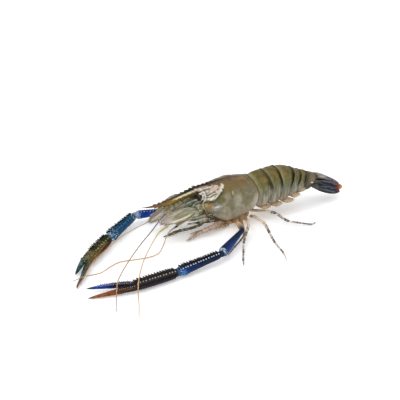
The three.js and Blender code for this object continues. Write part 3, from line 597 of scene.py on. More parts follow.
RING_JOINTS = [  # x of each joint at the back, at mid side and at the side plates' tips
    (20.6, 24.4, 21.2), (35.0, 39.0, 33.0), (48.0, 49.8, 46.5), (66.0, 60.6, 57.0),
    (75.0, 69.4, 66.5), (81.5, 76.5, 74.5), (94.5, 90.0, 86.5),
]
RING_HALF_WIDTHS = [15.0, 15.2, 14.6, 13.2, 11.8, 10.4, 7.4]
PLATE_TIPS = [17.0, 17.6, 18.3, 20.2, 21.0, 21.2]
BAND_STRENGTHS = [0.75, 0.95, 1.0, 0.9, 0.9, 0.5]


def ring_points(number, share, size, shift):
    share, size, shift = (np.asarray(v, float)[:, None] for v in (share, size, shift))
    front, rear = RING_JOINTS[number], RING_JOINTS[number + 1]
    half = lerp(RING_HALF_WIDTHS[number], RING_HALF_WIDTHS[number + 1], share)
    swell = 0.35 * np.sin(math.pi * share) - 0.5 * (1 - share)
    top = along(BACK_LINE, lerp(front[0], rear[0], share)) + swell
    curl = 1 - np.sqrt(1 - np.minimum(1, np.abs(2 * share - 1)) ** 3)
    low = PLATE_TIPS[number] - 0.5 + 2.8 * curl
    belly = PLATE_TIPS[number] + 7.0
    angle = np.linspace(0, math.pi, 97)[None]
    arch, cosine = np.maximum(0, np.sin(angle)) ** 0.72, np.cos(angle)
    y = (half + swell) * np.sign(cosine) * np.abs(cosine) ** 0.8 * (1 - 0.08 * (1 - arch) ** 2)
    inner = np.linspace(-1, 1, 26)[None][:, 1:-1]
    y = np.concatenate([y, half * 0.78 * np.sign(inner) * np.abs(inner) ** 0.6 + 0 * share], 1)
    z = np.concatenate([lerp(low, top, arch), lerp(low, belly, 1 - np.abs(inner) ** 4)], 1)
    height = np.clip((z - low) / (top - low), 0, 1)
    skin = np.concatenate([np.ones(97), np.zeros(24)])[None] + 0 * share

    def edge(joint):
        return along([(0, joint[2]), (0.45, joint[1]), (1, joint[0])], height)

    x = lerp(edge(front), edge(rear), share) + shift
    middle = lerp(belly, top, 0.45)
    return np.stack([x, y * size, lerp(middle, z, size)], -1), height, skin


LAST_RING = 5
WIDE_BANDS = (3, 4)  # the rings whose dark rear bands reach furthest forward
LAST_RING_DOT = [(84.9, -8.3, 27.3, 0.6), (85.5, -8.3, 27.2, 0.8), (86.1, -8.1, 27.1, 0.6)]


def body_ring(number):
    share, size, shift = lipped(
        np.linspace(-0.1, 1.06, 60), [(0.5, -0.2), (0.9, -0.4)],
        [(0.99, 0.25), (0.975, 0.1), (0.95, -1), (0.5, -1)])
    points, height, skin = ring_points(number, share, size, shift)
    share = share[:, None] + 0 * height
    streaks = cloud(points, (1.6, 3, 12), 8 + number)
    plate_fold = peak(height, 0.3, 0.12) * np.sin(math.pi * np.clip(share, 0, 1))
    relief = (
        cloud(points, 6, 10 + number) * 0.3 + streaks * 0.16 + 0.35 * peak(share, 1.02, 0.07)
        - 0.3 * peak(share, 0.16, 0.1) * fade(height, 0.15, 0.4) - 0.22 * plate_fold
    )
    points = points + normals_of(points) * (relief * skin * (size > 0.999)[:, None])[..., None]

    ragged = cloud(points, 4, 20 + number)
    if number == LAST_RING:
        coat = Paint(points, height, "0 3a342c .25 4e463a .5 6a6250 .7 746a54 .85 6e6450 1 625848")
    else:
        coat = Paint(points, height, "0 8e6a58 .08 968674 .3 828070 .5 706e54 .68 68643c .85 72643a 1 6a5a34")
    body = 0.3 if number == LAST_RING else 1.0
    coat.dab("866a38", fade(ragged, 0.0, 0.6) * fade(height, 0.66, 0.88) * 0.5 * body)
    coat.dab("4c5024", fade(-ragged, 0.0, 0.4) * fade(height, 0.5, 0.75) * 0.65 * body)
    coat.dab("a8a28e", fade(streaks, 0.08, 0.45) * sink(height, 0.45, 0.75) * 0.55 * body)
    coat.dab("565c4e", fade(-streaks, 0.08, 0.45) * sink(height, 0.5, 0.85) * 0.5)
    # painted highlight on the front of each ring, behind the dark band of the ring before
    coat.dab("9c966c", sink(share, 0.1, 0.36) * fade(height, 0.25, 0.5) * 0.5 * body)
    reach = fade(height, 0.2, 0.6)
    start = lerp(0.92, 0.67 if number in WIDE_BANDS else 0.78, reach) + ragged * 0.06
    top_fade = 1 - 0.3 * fade(height, 0.8, 1)
    coat.dab("12140a", fade(share, start - 0.06, start + 0.14) * reach * top_fade * BAND_STRENGTHS[number])
    coat.dab("4e523c", fade(share, 0.84, 0.95) * (1 - reach) * 0.75)
    coat.dab("a8a488", fade(share, 1.04, 1.06) * 0.45 * body)
    coat.dab("ac8468", peak(height, 0.02, 0.05) * 0.5 * body)
    if number == LAST_RING:
        # painted shade on the front of the last ring, where it comes out from under the ring before
        coat.dab("33261c", sink(share, 0.1, 0.42) * fade(height, 0.1, 0.3) * 0.85)
        coat.dab("2a2620", fade(share, 0.86, 1.0) * peak(height, 0.62, 0.2) * 0.9)
    coat.dab("8e7048", (1 - skin) * 0.9)
    shape = Shape(points, coat.colours)
    if number == LAST_RING:
        for side in (-1, 1):
            dot = Limb(on_side(LAST_RING_DOT, side), 12, 14)
            shape.skin(dot.points, rgb("e6dcc2"))
    shape.make(f"ring_{number + 1}", f"abdomen_{number + 1}", "ring", RING)


# ---------------------------------------------------------------- tail fan

TELSON = [
    (93.0, 0, 29.6, 4.6, 2.0), (98, 0, 28.2, 4.8, 2.3), (106, 0, 24.4, 3.9, 1.9),
    (115, 0, 19.4, 2.6, 1.4), (120, 0, 16.2, 1.4, 0.9), (121.3, 0, 15.3, 0.5, 0.4),
]
OUTER_UROPOD = ((88.6, -8.3, 21.4), (120.4, -5.2, 8.2), 4.0)
INNER_UROPOD = ((91, -5.0, 25.4), (125, -2.4, 10.4), 3.9)
BLADE = [(0, 0.3), (0.08, 0.5), (0.3, 0.85), (0.6, 1), (0.85, 0.82), (0.96, 0.5), (1, 0.22)]


def telson():
    plate = Limb(TELSON, 100, 56)
    ridges = peak(np.abs(plate.cosine), 0.55, 0.2) * (plate.sine > 0)
    plate.swell(0.35 * ridges + cloud(plate.points, 3, 31) * 0.15)
    streaks = cloud(plate.points, (10, 1.3, 4), 32)
    coat = plate.paint("0 7c7260 .2 8c8478 .5 7e747a .75 665462 .9 7a4a42 1 8c4a34")
    coat.dab("b8aca6", fade(streaks, 0.0, 0.35) * fade(plate.sine, 0.1, 0.6) * sink(plate.s, 0.7, 0.9) * 0.6)
    coat.dab("2e2628", fade(-streaks, 0.1, 0.35) * 0.8)
    coat.dab("1e1c1c", fade(-plate.sine, -0.15, 0.4) * 0.8)
    shape = Shape(plate.points, coat.colours)
    for x, y in ((104.5, 1.9), (111.5, 1.4), (120.6, 0.8), (120.8, 0.3)):
        z = along([(s[0], s[2] + s[4]) for s in TELSON], x) - 0.4
        for side in (-1, 1):
            shape.spikes([(x, side * y, z)], [(1, side * 0.1, -0.3)], 0.3, 1.7, rgb("503a3a"), rgb("b09484"))
    shape.make("telson_plate", "telson", "fan", FAN)


UROPOD_STOPS = {
    "outer": "0 605648 .1 3c3c3c .3 2c323c .6 262c3a .8 2a2434 .88 4e2030 .95 5e2430 1 6a2c30",
    "inner": "0 605a48 .12 3c4040 .4 30343e .64 2e2c38 .76 50302e .86 8a4024 .93 c07834 1 c4824c",
}
UROPOD_JOINT = [(86.4, -7.6, 23, 1.5), (88.6, -8.4, 22.4, 2.2), (92, -8, 20.8, 1.5)]


def uropod(word, blade, side):
    start, end, half = np.array(blade[0]), np.array(blade[1]), blade[2]
    if side > 0:
        start, end = start * [1, -1, 1], end * [1, -1, 1]
    fin = Limb([(*lerp(start, end, s), 0.95 * math.sqrt(size), half * size) for s, size in BLADE], 130, 96)
    rays = np.cos(fin.sine * 6.5 + 2.4 * fin.s + cloud(fin.points, (9, 4, 4), 36) * 1.6)
    rays = rays * fade(fin.s, 0.06, 0.3) * (1 - 0.6 * fade(fin.s, 0.8, 1)) * (1 - fin.sine**8)
    fin.swell(0.3 * rays + cloud(fin.points, 2.5, 35) * 0.1)
    coat = fin.paint(UROPOD_STOPS[word])
    late = sink(fin.s, 0.74, 0.86)
    coat.dab("5c6a70", fade(rays, 0.3, 0.95) * late * 0.7)
    coat.dab("0e1016", fade(-rays, 0.2, 0.8) * late * 0.85)
    coat.dab("4c3e46", fade(cloud(fin.points, (5, 2, 2), 33), 0.0, 0.4) * late * 0.4)
    coat.dab("6c5c6c" if word == "inner" else "12161c", fade(fin.sine, 0.78, 0.96) * late * 0.8)
    coat.dab("0e1218", fade(-fin.sine, 0.6, 0.9) * sink(fin.s, 0.8, 0.95) * 0.85)
    shape = Shape(fin.points, coat.colours)
    if word == "outer":
        joint = Limb(on_side(UROPOD_JOINT, side), 20, 20)
        shape.skin(joint.points, rgb("4a4438"))
    edges = [fin.sides // 4, fin.sides * 3 // 4]
    tone = ("5a2c2c", "b0643c" if word == "inner" else "8a4a44")
    bristles(shape, fin, 90, (0.62, 0.97), (0.6, 1.3), tone, edges, 0.4)
    name = f"uropod_{word_of(side)}_{word}"
    shape.make(f"{name}_blade", name, "fan", FAN)


# ---------------------------------------------------------------- swimmerets

SWIMMERETS = [(25, 11, 10.6), (36.5, 11.5, 10.8), (49, 11.5, 10.6), (59.5, 9, 8.4), (69, 7, 4.6)]


def swimmeret(number, side):
    x, length, drop = SWIMMERETS[number]
    root = PLATE_TIPS[number] + 5.2
    outward = drop * 0.56
    stations = [
        (x, -5.4, root, 1.2, 1.2),
        (x + length * 0.22, -6 - outward * 0.6, root - drop * 0.6, 1.8, 1.8),
        (x + length * 0.55, -6.2 - outward * 0.9, root - drop * 0.72, 2.4, 2.6),
        (x + length * 0.85, -6.2 - outward, root - drop * 0.74, 2.2, 2.3),
        (x + length * 1.12, -6.2 - outward, root - drop * 0.76, 1.2, 1.0),
    ]
    paddle = Limb(on_side(stations, side), 50, 32)
    rays = np.cos(paddle.cosine * 14) * fade(paddle.s, 0.4, 0.6)
    paddle.swell(0.14 * rays + cloud(paddle.points, 1.6, 41) * 0.3)
    coat = paddle.paint("0 9a7050 .3 ac8a68 .6 b09670 1 bca684")
    coat.dab("6c5434", fade(-rays, 0.3, 1) * 0.5)
    coat.dab("d0bc9c", fade(cloud(paddle.points, 1.5, 42), 0.05, 0.4) * 0.6)
    coat.dab("30221a", np.maximum(peak(paddle.s, 0.36, 0.06), sink(paddle.s, 0.0, 0.2)) * 0.7)
    shape = Shape(paddle.points, coat.colours)
    bristles(shape, paddle, 190, (0.25, 0.97), (1.4, 2.6), ("9c8058", "ccb894"), None, 0.6, 1.0, 0.11)
    name = f"swimmeret_{word_of(side)}_{number + 1}"
    shape.make(f"{name}_paddle", name, "belly", FLESH)


# ---------------------------------------------------------------- head

CHEST = [  # x, top, bottom, share of the full width
    (-20, 12.2, 8, 0.5), (-16, 9.6, 2.5, 0.8), (-12, 6.7, 0, 1), (-4, 4.95, 0, 1),
    (2, 5.3, 0, 1), (8, 7.2, 0, 1), (14, 8.4, 0, 0.9), (19, 8.8, 4.5, 0.6),
]


def thorax_underside():
    x = np.linspace(-20, 19, 120)[:, None]
    top, bottom, share = (np.interp(x, [r[0] for r in CHEST], [r[k] for r in CHEST]) for k in (1, 2, 3))
    angle = np.linspace(0, 2 * math.pi, 64, endpoint=False)[None]
    plates = np.abs(np.sin(x / 7.4 * math.pi)) ** 0.4 + 0 * angle
    y = 8 * share * np.sign(np.cos(angle)) * np.abs(np.cos(angle)) ** 0.7 * lerp(0.9, 1, plates)
    z = lerp(bottom, top, 0.5 + 0.5 * np.sign(np.sin(angle)) * np.abs(np.sin(angle)) ** 0.7)
    z = np.maximum(z, bottom + 0.35 * (1 - plates) * (np.sin(angle) < 0))
    points = np.stack([x + 0 * y, y, z], -1)
    coat = Paint(points, plates, "0 6a4c34 .6 b08c64 1 d0b084")
    coat.dab("94704c", fade(cloud(points, 4, 44), 0, 0.4) * 0.4)
    shape = Shape(points, coat.colours)
    shape.make("chest_plates", "thorax_underside", "belly", FLESH)


def eye(side):
    outward = unit([-0.2, side * 0.95, 0.15])
    root = np.array([-34.2, side * 4.9, 37 - side * 0.6])
    turns = np.linspace(-0.72, math.pi / 2, 26)
    reach = np.concatenate([[0, 0.9, 1.5], 3.4 + 2.0 * np.sin(turns)])
    radius = np.concatenate([[1.2, 1.3, 1.5], np.maximum(2.0 * np.cos(turns), 0.02)])
    wide = unit(np.cross(outward, UP))
    tall = np.cross(wide, outward)
    angle = np.linspace(0, 2 * math.pi, 48, endpoint=False)
    points = (
        (root + outward * reach[:, None])[:, None]
        + wide * (radius[:, None] * np.cos(angle))[..., None]
        + tall * (radius[:, None] * np.sin(angle))[..., None]
    )
    coat = Paint(points, reach[:, None], "0 94704e 1.4 7c583e 2.3 3a2a2a 2.9 1c1418 6 181014")
    # painted highlight on the top of the eye
    coat.dab("54485a", fade(cloud(points, 1.6, 46), 0.0, 0.5) * fade(points[..., 2], 38, 40.5) * 0.8)
    shape = Shape(points, coat.colours)
    name = f"eye_{word_of(side)}"
    shape.make(f"{name}_ball", name, "eye", EYE)


ANTENNULE = [
    (-36.6, -4.6, 32.0, 2.3), (-45, -5.2, 29.4, 2.3), (-46, -5.3, 29.0, 1.9),
    (-53, -6.0, 25.6, 1.9), (-54, -6.2, 25.0, 1.6), (-62, -7.2, 19.4, 1.5),
]
ANTENNULE_PLATE = [
    (-37, -6.4, 33.4, 0.9, 2.4), (-46, -7.4, 31.0, 0.9, 4.4),
    (-55, -8.4, 28.0, 0.8, 5.2), (-64, -9.4, 25.0, 0.6, 4.2),
]
ANTENNA_BASE = [
    (-35.4, -10.2, 26.2, 3.6), (-38, -10.8, 25.6, 4.2), (-42, -11.8, 24.4, 3.9),
    (-46, -12.8, 22.4, 2.6), (-48, -13.2, 21.4, 1.6),
]
ANTENNA_LOBES = [  # colours and stations of the plates and folds between the feeler bases; the fifth is a dark strip of painted shade under the front of the head
    ("0 3c2c24 .4 4c5040 1 828460", [
        (-33.5, -8.4, 31.6, 2.2), (-38, -9.4, 31.2, 2.6), (-44, -10.6, 28.8, 1.6)]),
    ("0 8a5a38 .3 7c8474 .7 667068 1 8c8a6c", [
        (-31, -11.4, 19.4, 2), (-37, -12.4, 19.6, 2.6), (-45, -13.2, 19.2, 1.9), (-49.5, -13.4, 19.6, 0.8)]),
    ("0 3a2418 .5 a08a70 1 b4a68c", [
        (-27, -11.6, 14.4, 1.8), (-33, -12.6, 16.2, 2.4), (-37.5, -13.2, 16.6, 1.4)]),
    ("0 3c2c1e .6 4c4030 1 58503c", [(-20, -9.6, 16.4, 2.2), (-26, -10.4, 18.6, 2.6), (-31.5, -11, 20.4, 2)]),
    # a dark strip of painted shade under the front of the head
    ("0 2c1e16 .5 3c2c22 1 6c5a4a", [
        (-20, -10.4, 11.6, 1.8), (-30, -11.4, 12.6, 1.5), (-42, -12.4, 14.2, 1), (-49, -13, 15.2, 0.5)]),
    ("0 dcd4c4 .5 ece6da 1 c8bca8", [
        (-35.4, -8.8, 41.4, 0.5), (-33.2, -9.2, 40.8, 0.9), (-31.9, -9.6, 39, 1.2), (-32, -9.8, 36.8, 1.2),
        (-33.6, -9.6, 35, 0.6)]),
]
LEFT_SCALE = [
    (-42.6, -14.6, 29.6, 2.2, 0.9), (-47, -15.2, 29.2, 4.6, 0.9), (-56, -15.8, 27.4, 6.2, 0.8),
    (-65, -15.4, 25.4, 5.4, 0.7), (-72, -14.4, 23.6, 2.8, 0.6), (-74.5, -14, 23, 1.0, 0.4),
]
RIGHT_SCALE = [
    (-42.6, 17, 29.4, 2.2, 0.9), (-47, 17.2, 28, 4.6, 0.9), (-56, 15.4, 23.4, 6.2, 0.8),
    (-66, 12.2, 17.8, 5.4, 0.7), (-74, 10.6, 14.6, 2.8, 0.6), (-77, 10, 13.4, 1.0, 0.4),
]


def head_limb(shape, stations, side, stops, roll=0.0, rings=()):
    """A fleshy limb of the head, streaked along its length and pinched at its joints."""
    limb = Limb(on_side(stations, side), 70, 34, roll)
    fold = sum((peak(limb.s, at, 0.03) for at in rings), 0 * limb.s)
    streaks = cloud(limb.points, (6, 1.1, 1.1), 52)
    limb.swell(streaks * 0.4 - 0.4 * fold)
    coat = limb.paint(stops)
    coat.dab("3a463c", fade(streaks, 0.05, 0.4) * 0.7)
    coat.dab("d2ceb6", fade(-streaks, 0.05, 0.4) * 0.65)
    coat.dab("343828", fold * 0.8)
    # painted shade on the underside of the limb
    coat.dab("2c281c", fade(-limb.sine, 0.55, 0.95) * 0.8)
    shape.skin(limb.points, coat.colours)
    return limb


def antennule_and_base(side):
    word = word_of(side)
    shape = Shape()
    stalk = head_limb(shape, ANTENNULE, side, "0 7e7450 .3 a29c76 .7 aaa680 1 b89c5c", 0, (0.34, 0.66))
    head_limb(shape, ANTENNULE_PLATE, side, "0 6e705a .3 707c72 .6 8c8a68 1 a8a07c", side * 0.2)
    bristles(shape, stalk, 120, (0.3, 0.95), (2.0, 4.2), ("a8a284", "dccfbe"), None, 0.7)
    shape.make(f"antennule_{word}_stalk", f"antennule_{word}", "scale", SCALE)
    shape = Shape()
    head_limb(shape, ANTENNA_BASE, side, "0 8a7a44 .4 7e7a5c .75 a08c5c 1 b8985c", 0, (0.3, 0.72))
    for stops, lobe in ANTENNA_LOBES:
        head_limb(shape, lobe, side, stops)
    shape.make(f"antenna_{word}_base_segments", f"antenna_base_{word}", "shell", SHELL)


def antennal_scale(side):
    """A thin leaf with ribs, a dark outer edge that ends in a spine, and a fringe of hairs."""
    leaf = Limb(RIGHT_SCALE if side > 0 else LEFT_SCALE, 120, 80, -0.35 if side > 0 else -0.5)
    outer = leaf.cosine * -side
    streaks = cloud(leaf.points, (9, 1.1, 1.1), 56 + side)
    ribs = peak(outer, 0.45, 0.1) + 0.6 * peak(outer, 0, 0.08) + 0.5 * peak(outer, -0.35, 0.07)
    leaf.swell(0.25 * ribs + 0.3 * streaks)
    if side < 0:
        coat = leaf.paint("0 6e7060 .2 868468 .45 969070 .7 b0a894 .88 c4b8ac 1 b4a898")
    else:
        coat = leaf.paint("0 76724c .3 969478 .55 b0ac98 .8 beb8ae 1 b4a894")
    coat.dab("5c6454", fade(streaks, 0.02, 0.5) * sink(leaf.s, 0.7, 0.9) * 0.6)
    coat.dab("d0c8aa", fade(-streaks, 0.08, 0.5) * 0.5)
    coat.dab("bcaaa0", fade(leaf.s, 0.72, 0.95) * 0.5)
    if side < 0:
        coat.dab("6a6038", peak(outer, -0.05, 0.6) * peak(leaf.s, 0.58, 0.26) * 0.85)
        coat.dab("e0dcc0", peak(outer, 0.62, 0.2) * fade(leaf.s, 0.1, 0.25) * sink(leaf.s, 0.72, 0.88) * 0.9)
        coat.dab("343a2c", peak(outer, 0.36, 0.1) * peak(leaf.s, 0.45, 0.35) * 0.8)
    else:
        coat.dab("6c6034", fade(outer, 0.05, 0.3) * fade(leaf.s, 0.4, 0.55) * 0.85)
        stripes = np.maximum(peak(outer, 0.1, 0.14), fade(outer, 0.84, 0.95))
        coat.dab("241f14", stripes * fade(leaf.s, 0.42, 0.6) * 0.9)
    coat.dab("3a3e28", fade(outer, 0.86, 0.97) * 0.85)
    coat.dab("c8b4a4", fade(-outer, 0.7, 0.95) * 0.7)
    shape = Shape(leaf.points, coat.colours)
    inner, edge = int(np.argmin(outer[0])), int(np.argmax(outer[0]))
    near = [(inner + k) % leaf.sides for k in range(-6, 7)]
    bristles(shape, leaf, 260, (0.3, 0.97), (2.4, 5.0), ("a89e84", "e0d0c4"), near, 0.5, 1.0, 0.11)
    bristles(shape, leaf, 240, (0.72, 0.99), (2.4, 5.5), ("b0a290", "e0d0c8"), None, 0.25, 1.0, 0.11)
    tip = leaf.points[int(len(leaf.share) * 0.86), edge]
    shape.spikes([tip], [leaf.centre[-6] - leaf.centre[20]], 0.5, 4, rgb("3c3824"), rgb("6c6242"), 8)
    name = f"antennal_scale_{word_of(side)}"
    shape.make(f"{name}_leaf", name, "scale", SCALE)


ROUTES = {
    "antennule_flagellum_left": [
        (-62.4, -7.3, 18.8), (-69, -8.6, 14.6), (-77, -12.2, 13), (-91, -27.8, 12.2), (-107, -49, 11.4),
        (-118.6, -68.4, 11), (-123.9, -79.2, 10.8), (-128, -88.8, 8.2), (-130.6, -96.6, 3.2),
        (-136.2, -110.6, 0.8),
    ],
    "antennule_flagellum_right": [
        (-62.4, 7.3, 18.8), (-66.6, 5.4, 16.8), (-71.2, 3.6, 14.2), (-81.8, -4, 10.4), (-96.2, -17, 9.2),
        (-111.2, -33, 8.8), (-122.8, -46.6, 8.8), (-130.8, -56.8, 8.9), (-137.3, -66.4, 9),
        (-142.9, -78, 8.2), (-146.2, -86, 4.2), (-149.9, -96.4, 0.8),
    ],
    "antenna_left": [
        (-48, -13.3, 21.4), (-58, -13.4, 16.8), (-67.4, -13, 11.5), (-73, -17.6, 8.2), (-79.5, -24.6, 4.2),
        (-85, -28.6, 1.6), (-95.6, -29.8, 0.8), (-108, -28.2, 0.8), (-121.4, -26.4, 0.8),
        (-132, -31, 1.2), (-142.5, -38.6, 2.6), (-152.6, -43.4, 5.6), (-160.4, -45.6, 7.6),
        (-167, -46.4, 6.8), (-169.8, -43, 4),
    ],
    "antenna_right": [
        (-48, 13.3, 21.4), (-60, 14, 17), (-75.1, 12, 12.3), (-86.5, 12.6, 9), (-96.2, 10.8, 7),
        (-106.7, 6.6, 6), (-120.4, -3.2, 5.6), (-132, -13.6, 6.3), (-143.9, -24.2, 6.8),
        (-152.9, -34.4, 5.9), (-161.4, -45.2, 5.1), (-166.4, -50.4, 3.9), (-169.2, -53.6, 2.4),
    ],
}
FEELER_LOOKS = {  # thickness at the first stations, and colours
    "antennule_flagellum_left": ((1.7, 1.3, 0.8), "0 d4c890 .1 d8c888 .25 d4b888 .6 d0a068 1 cca27c"),
    "antennule_flagellum_right": ((1.2, 0.8, 0.6), "0 44484c .2 645c58 .45 9c785e .7 b48868 1 a88878"),
    "antenna_left": ((1.5, 1.1, 0.7), "0 a08a6c .15 b8ac8c .5 cca268 1 b48868"),
    "antenna_right": ((1.5, 0.9, 0.6), "0 8c8460 .3 bcac80 .6 c89668 1 c08464"),
}
THIN = 0.47


def feeler(name):
    thick, stops = FEELER_LOOKS[name]
    route = ROUTES[name]
    whip = Limb([(*p, thick[k] if k < len(thick) else THIN) for k, p in enumerate(route)], 460, 10)
    beads = np.cos(np.arange(len(whip.share)) * 2 * math.pi / 5)[:, None] + 0 * whip.s
    whip.swell(0.03 * beads - 0.16 * fade(whip.s, 0.8, 1))
    coat = whip.paint(stops)
    coat.colours *= (1 + 0.12 * beads)[..., None]
    if name == "antenna_left":
        coat.dab("221a1c", peak(whip.s, 0.1, 0.022))
    shape = Shape(whip.points, coat.colours)
    shape.make(f"{name}_whip", name, "feeler", FEELER)


# ---------------------------------------------------------------- mouth limbs and slender legs

PINK = "0 5c4434 .12 9c8068 .3 c0a48c .7 d4bca8 1 dcc4b4"
PALE = "0 7c6040 .2 b09470 .5 ccb294 .8 d4c0a8 1 c0a680"
OLIVE = "0 6a543a .4 6e6244 .6 5a5232 .85 4c4626 1 4a4226"
BANDED = "0 c4a47c .12 dcc4a4 .3 e2d2bc .4 c4b8aa .7 b8b0a8 1 ccc2bc"
BROWN = "0 c4a47c .2 c0a48c .5 7c5c60 .8 785c60 1 8c746c"

LIMBS = {  # colours, strength of the dark bands, stations
    "maxilliped_left": (PINK, 0, [
        (-15, -10.4, 8.6, 1.9), (-23, -15.6, 8.6, 2.2), (-29, -16.4, 7.2, 2.4, 1.9),
        (-35.6, -16, 5.8, 1.9, 1.6), (-45, -17.6, 3.8, 1.6, 1.3), (-52.2, -18.6, 1.3, 0.5)]),
    "maxilliped_right": (PINK, 0, [
        (-17, 9, 9.4, 1.8), (-24, 11.2, 10.2, 2.2), (-36, 12, 7.6, 1.8, 1.5), (-50, 11.4, 2.4, 0.5)]),
    "first_leg_left": (PALE, 0, [
        (-6.4, -9.6, 2.6, 1.5), (-14, -12.8, 3.6, 1.3), (-23.5, -12.4, 3.8, 1.2), (-32, -10.8, 2.8, 1.2),
        (-37.5, -9.6, 2.1, 1.5, 1.3), (-44, -8.2, 1.0, 0.5)]),
    "first_leg_right": (OLIVE, 0, [
        (-14.4, 10.6, 3.2, 1.5), (-22.5, 5.2, 4.6, 1.4), (-31.5, -2.6, 5, 1.4), (-42, -2.4, 3.4, 1.4),
        (-52.5, -1, 2.6, 1.5), (-60, -2.2, 2.2, 1.7, 1.5), (-68.7, -2.6, 1.1, 0.5)]),
    "walking_leg_left_1": (BROWN, 0.5, [
        (8.4, -9.6, 2.6, 1.5), (3.4, -24, 3.0, 1.1), (-1.7, -33.9, 2.6, 1.0), (-9, -40.6, 2.2, 0.9),
        (-19, -48.4, 1.8, 0.8), (-28.5, -56, 0.9, 0.45)]),
    "walking_leg_left_2": (BANDED, 1, [
        (13.6, -9.4, 3.6, 1.6), (8, -24, 8.4, 1.5), (4.2, -31.4, 10, 1.5), (-4, -41.6, 7.2, 1.2),
        (-10, -49.7, 5, 1.1), (-16.4, -61.4, 3, 0.9), (-21.7, -71.3, 1.6, 0.8), (-24.3, -77.5, 0.7, 0.45)]),
    "walking_leg_left_3": (BANDED, 1, [
        (19.4, -8.6, 5.2, 1.7), (19.4, -16, 8, 1.6), (20.2, -32.8, 9.5, 1.4), (17.5, -47.7, 8, 1.2),
        (15.7, -61.2, 5.5, 1.0), (16.6, -75.1, 2.2, 0.8), (14.4, -84.9, 0.7, 0.45)]),
    "walking_leg_right_1": (BANDED, 1, [
        (4.2, 9.6, 2.8, 1.5), (3, 24, 8, 1.4), (0, 34, 9.6, 1.3), (-3, 44, 7, 1.1),
        (-4, 54, 3.4, 0.9), (-5, 63, 0.7, 0.45)]),
    "walking_leg_right_2": (BANDED, 1, [
        (12.2, 9.6, 3.2, 1.6), (15, 24, 9, 1.5), (17, 34, 10.4, 1.4), (17.5, 45, 7.6, 1.1),
        (16, 57, 3.4, 0.9), (14.4, 66, 0.7, 0.45)]),
    "walking_leg_right_3": (BANDED, 1, [
        (20.4, 7.4, 5.4, 1.7), (26, -1, 6.4, 1.6), (33, -10.4, 8.2, 1.5), (39.4, -18.4, 9, 1.4),
        (46.9, -31.3, 5, 1.2), (57, -36.4, 3.2, 0.9), (66.9, -41, 1.7, 0.8), (72.4, -39.6, 1.9, 0.45)]),
}


def slender_leg(name, stops, banding, stations):
    """A jointed leg: it swells into each joint and narrows past it, and dark bands sit about the joints."""
    leg = Limb(stations, 190, 20)
    inner = leg.joints[1:-1]
    pinch = sum(peak(leg.s, at + 0.012, 0.014) for at in inner)
    knob = sum(peak(leg.s, at - 0.012, 0.022) for at in inner)
    leg.swell(0.16 * knob - 0.3 * pinch + 0.12 * cloud(leg.points, 1.5, 61))
    coat = leg.paint(stops)
    patches = cloud(leg.points, 2.6, 62 + len(name))
    coat.dab("ded2c2", fade(patches, 0.08, 0.45) * 0.45)
    if banding:
        late = fade(leg.s, 0.28, 0.4) * banding
        bands = sum(peak(leg.s, at + offset, 0.022) for at in inner for offset in (-0.035, 0.0))
        coat.dab("1e1a1c", np.clip(bands, 0, 1) * late * 0.95)
        coat.dab("463c3e", fade(-patches, 0.02, 0.3) * late * 0.8)
        coat.dab("dcd6d0", peak(leg.s, inner[len(inner) // 2] + 0.03, 0.02) * late)
    else:
        coat.dab("5c4030", np.clip(pinch, 0, 1) * 0.7)
        coat.dab("8c6c58", fade(-patches, 0.02, 0.35) * 0.6)
        coat.dab("54402e", fade(-leg.sine, 0.5, 0.95) * 0.4)
    shape = Shape(leg.points, coat.colours)
    if "maxilliped" in name:
        bristles(shape, leg, 420, (0.3, 0.97), (1.6, 3.4), ("a07c68", "dcc2b0"), None, 0.5, 1.0, 0.1)
    else:
        bristles(shape, leg, 60, (0.5, 0.96), (0.35, 0.8), ("6c5c50", "a89888"), None, 0.6, 1.0, 0.05)
    shape.make(f"{name}_segments", name, "leg", LEG)


# ---------------------------------------------------------------- claws

CLAWS = {
    "left": {
        "root": (2.4, -10.8, 4.6), "knee": (-3.4, -34.4, 9), "elbow": (-38.8, -62.4, 8),
        "wrist": (-84.5, -70, 5.4),
        "knuckle": (-125.1, -73.9, 5.3), "fixed_tip": (-164.8, -69.7, 1.4), "moving_tip": (-162.7, -60, 4.4),
        "meral": (2.0, 2.2, 3.4, 4.4), "shift": 0.0, "stout": 1.0,
    },
    "right": {
        "root": (-6.6, 11.2, 4.8), "knee": (-31, 23.6, 10.4), "elbow": (-83.6, 33.8, 9),
        "wrist": (-118.7, 8.5, 6.2),
        "knuckle": (-149.4, -19.6, 5.6), "fixed_tip": (-163.6, -32, 2.8), "moving_tip": (-169, -50.4, 1.8),
        "meral": (1.9, 2.0, 2.8, 4.0), "shift": 0.8, "stout": 1.1,
    },
}
FINGER_SPREAD = 2.25
ISCHIUM = [(0, 2.1), (0.3, 2.5), (0.85, 2.5), (1, 1.9)]
CARPUS = [(0, 2.8), (0.06, 3.5), (0.35, 3.8), (0.75, 4.4), (0.92, 4.8), (1, 3.9)]
PALM = [(0, 3.8), (0.05, 4.5), (0.3, 4.8), (0.7, 4.8), (0.97, 4.4)]
FIXED_FINGER = [(0.015, 2.2, 3.2), (0.3, 2.2, 2.8), (0.6, 1.8, 2.1), (0.88, 1.0, 1.2), (1, 0.35, 0.35)]
MOVING_FINGER = [
    (0.03, 1.8, 2.6), (0.1, 2.1, 2.9), (0.35, 2.1, 2.5), (0.65, 1.7, 1.9), (0.9, 0.9, 1.1), (1, 0.35, 0.35),
]

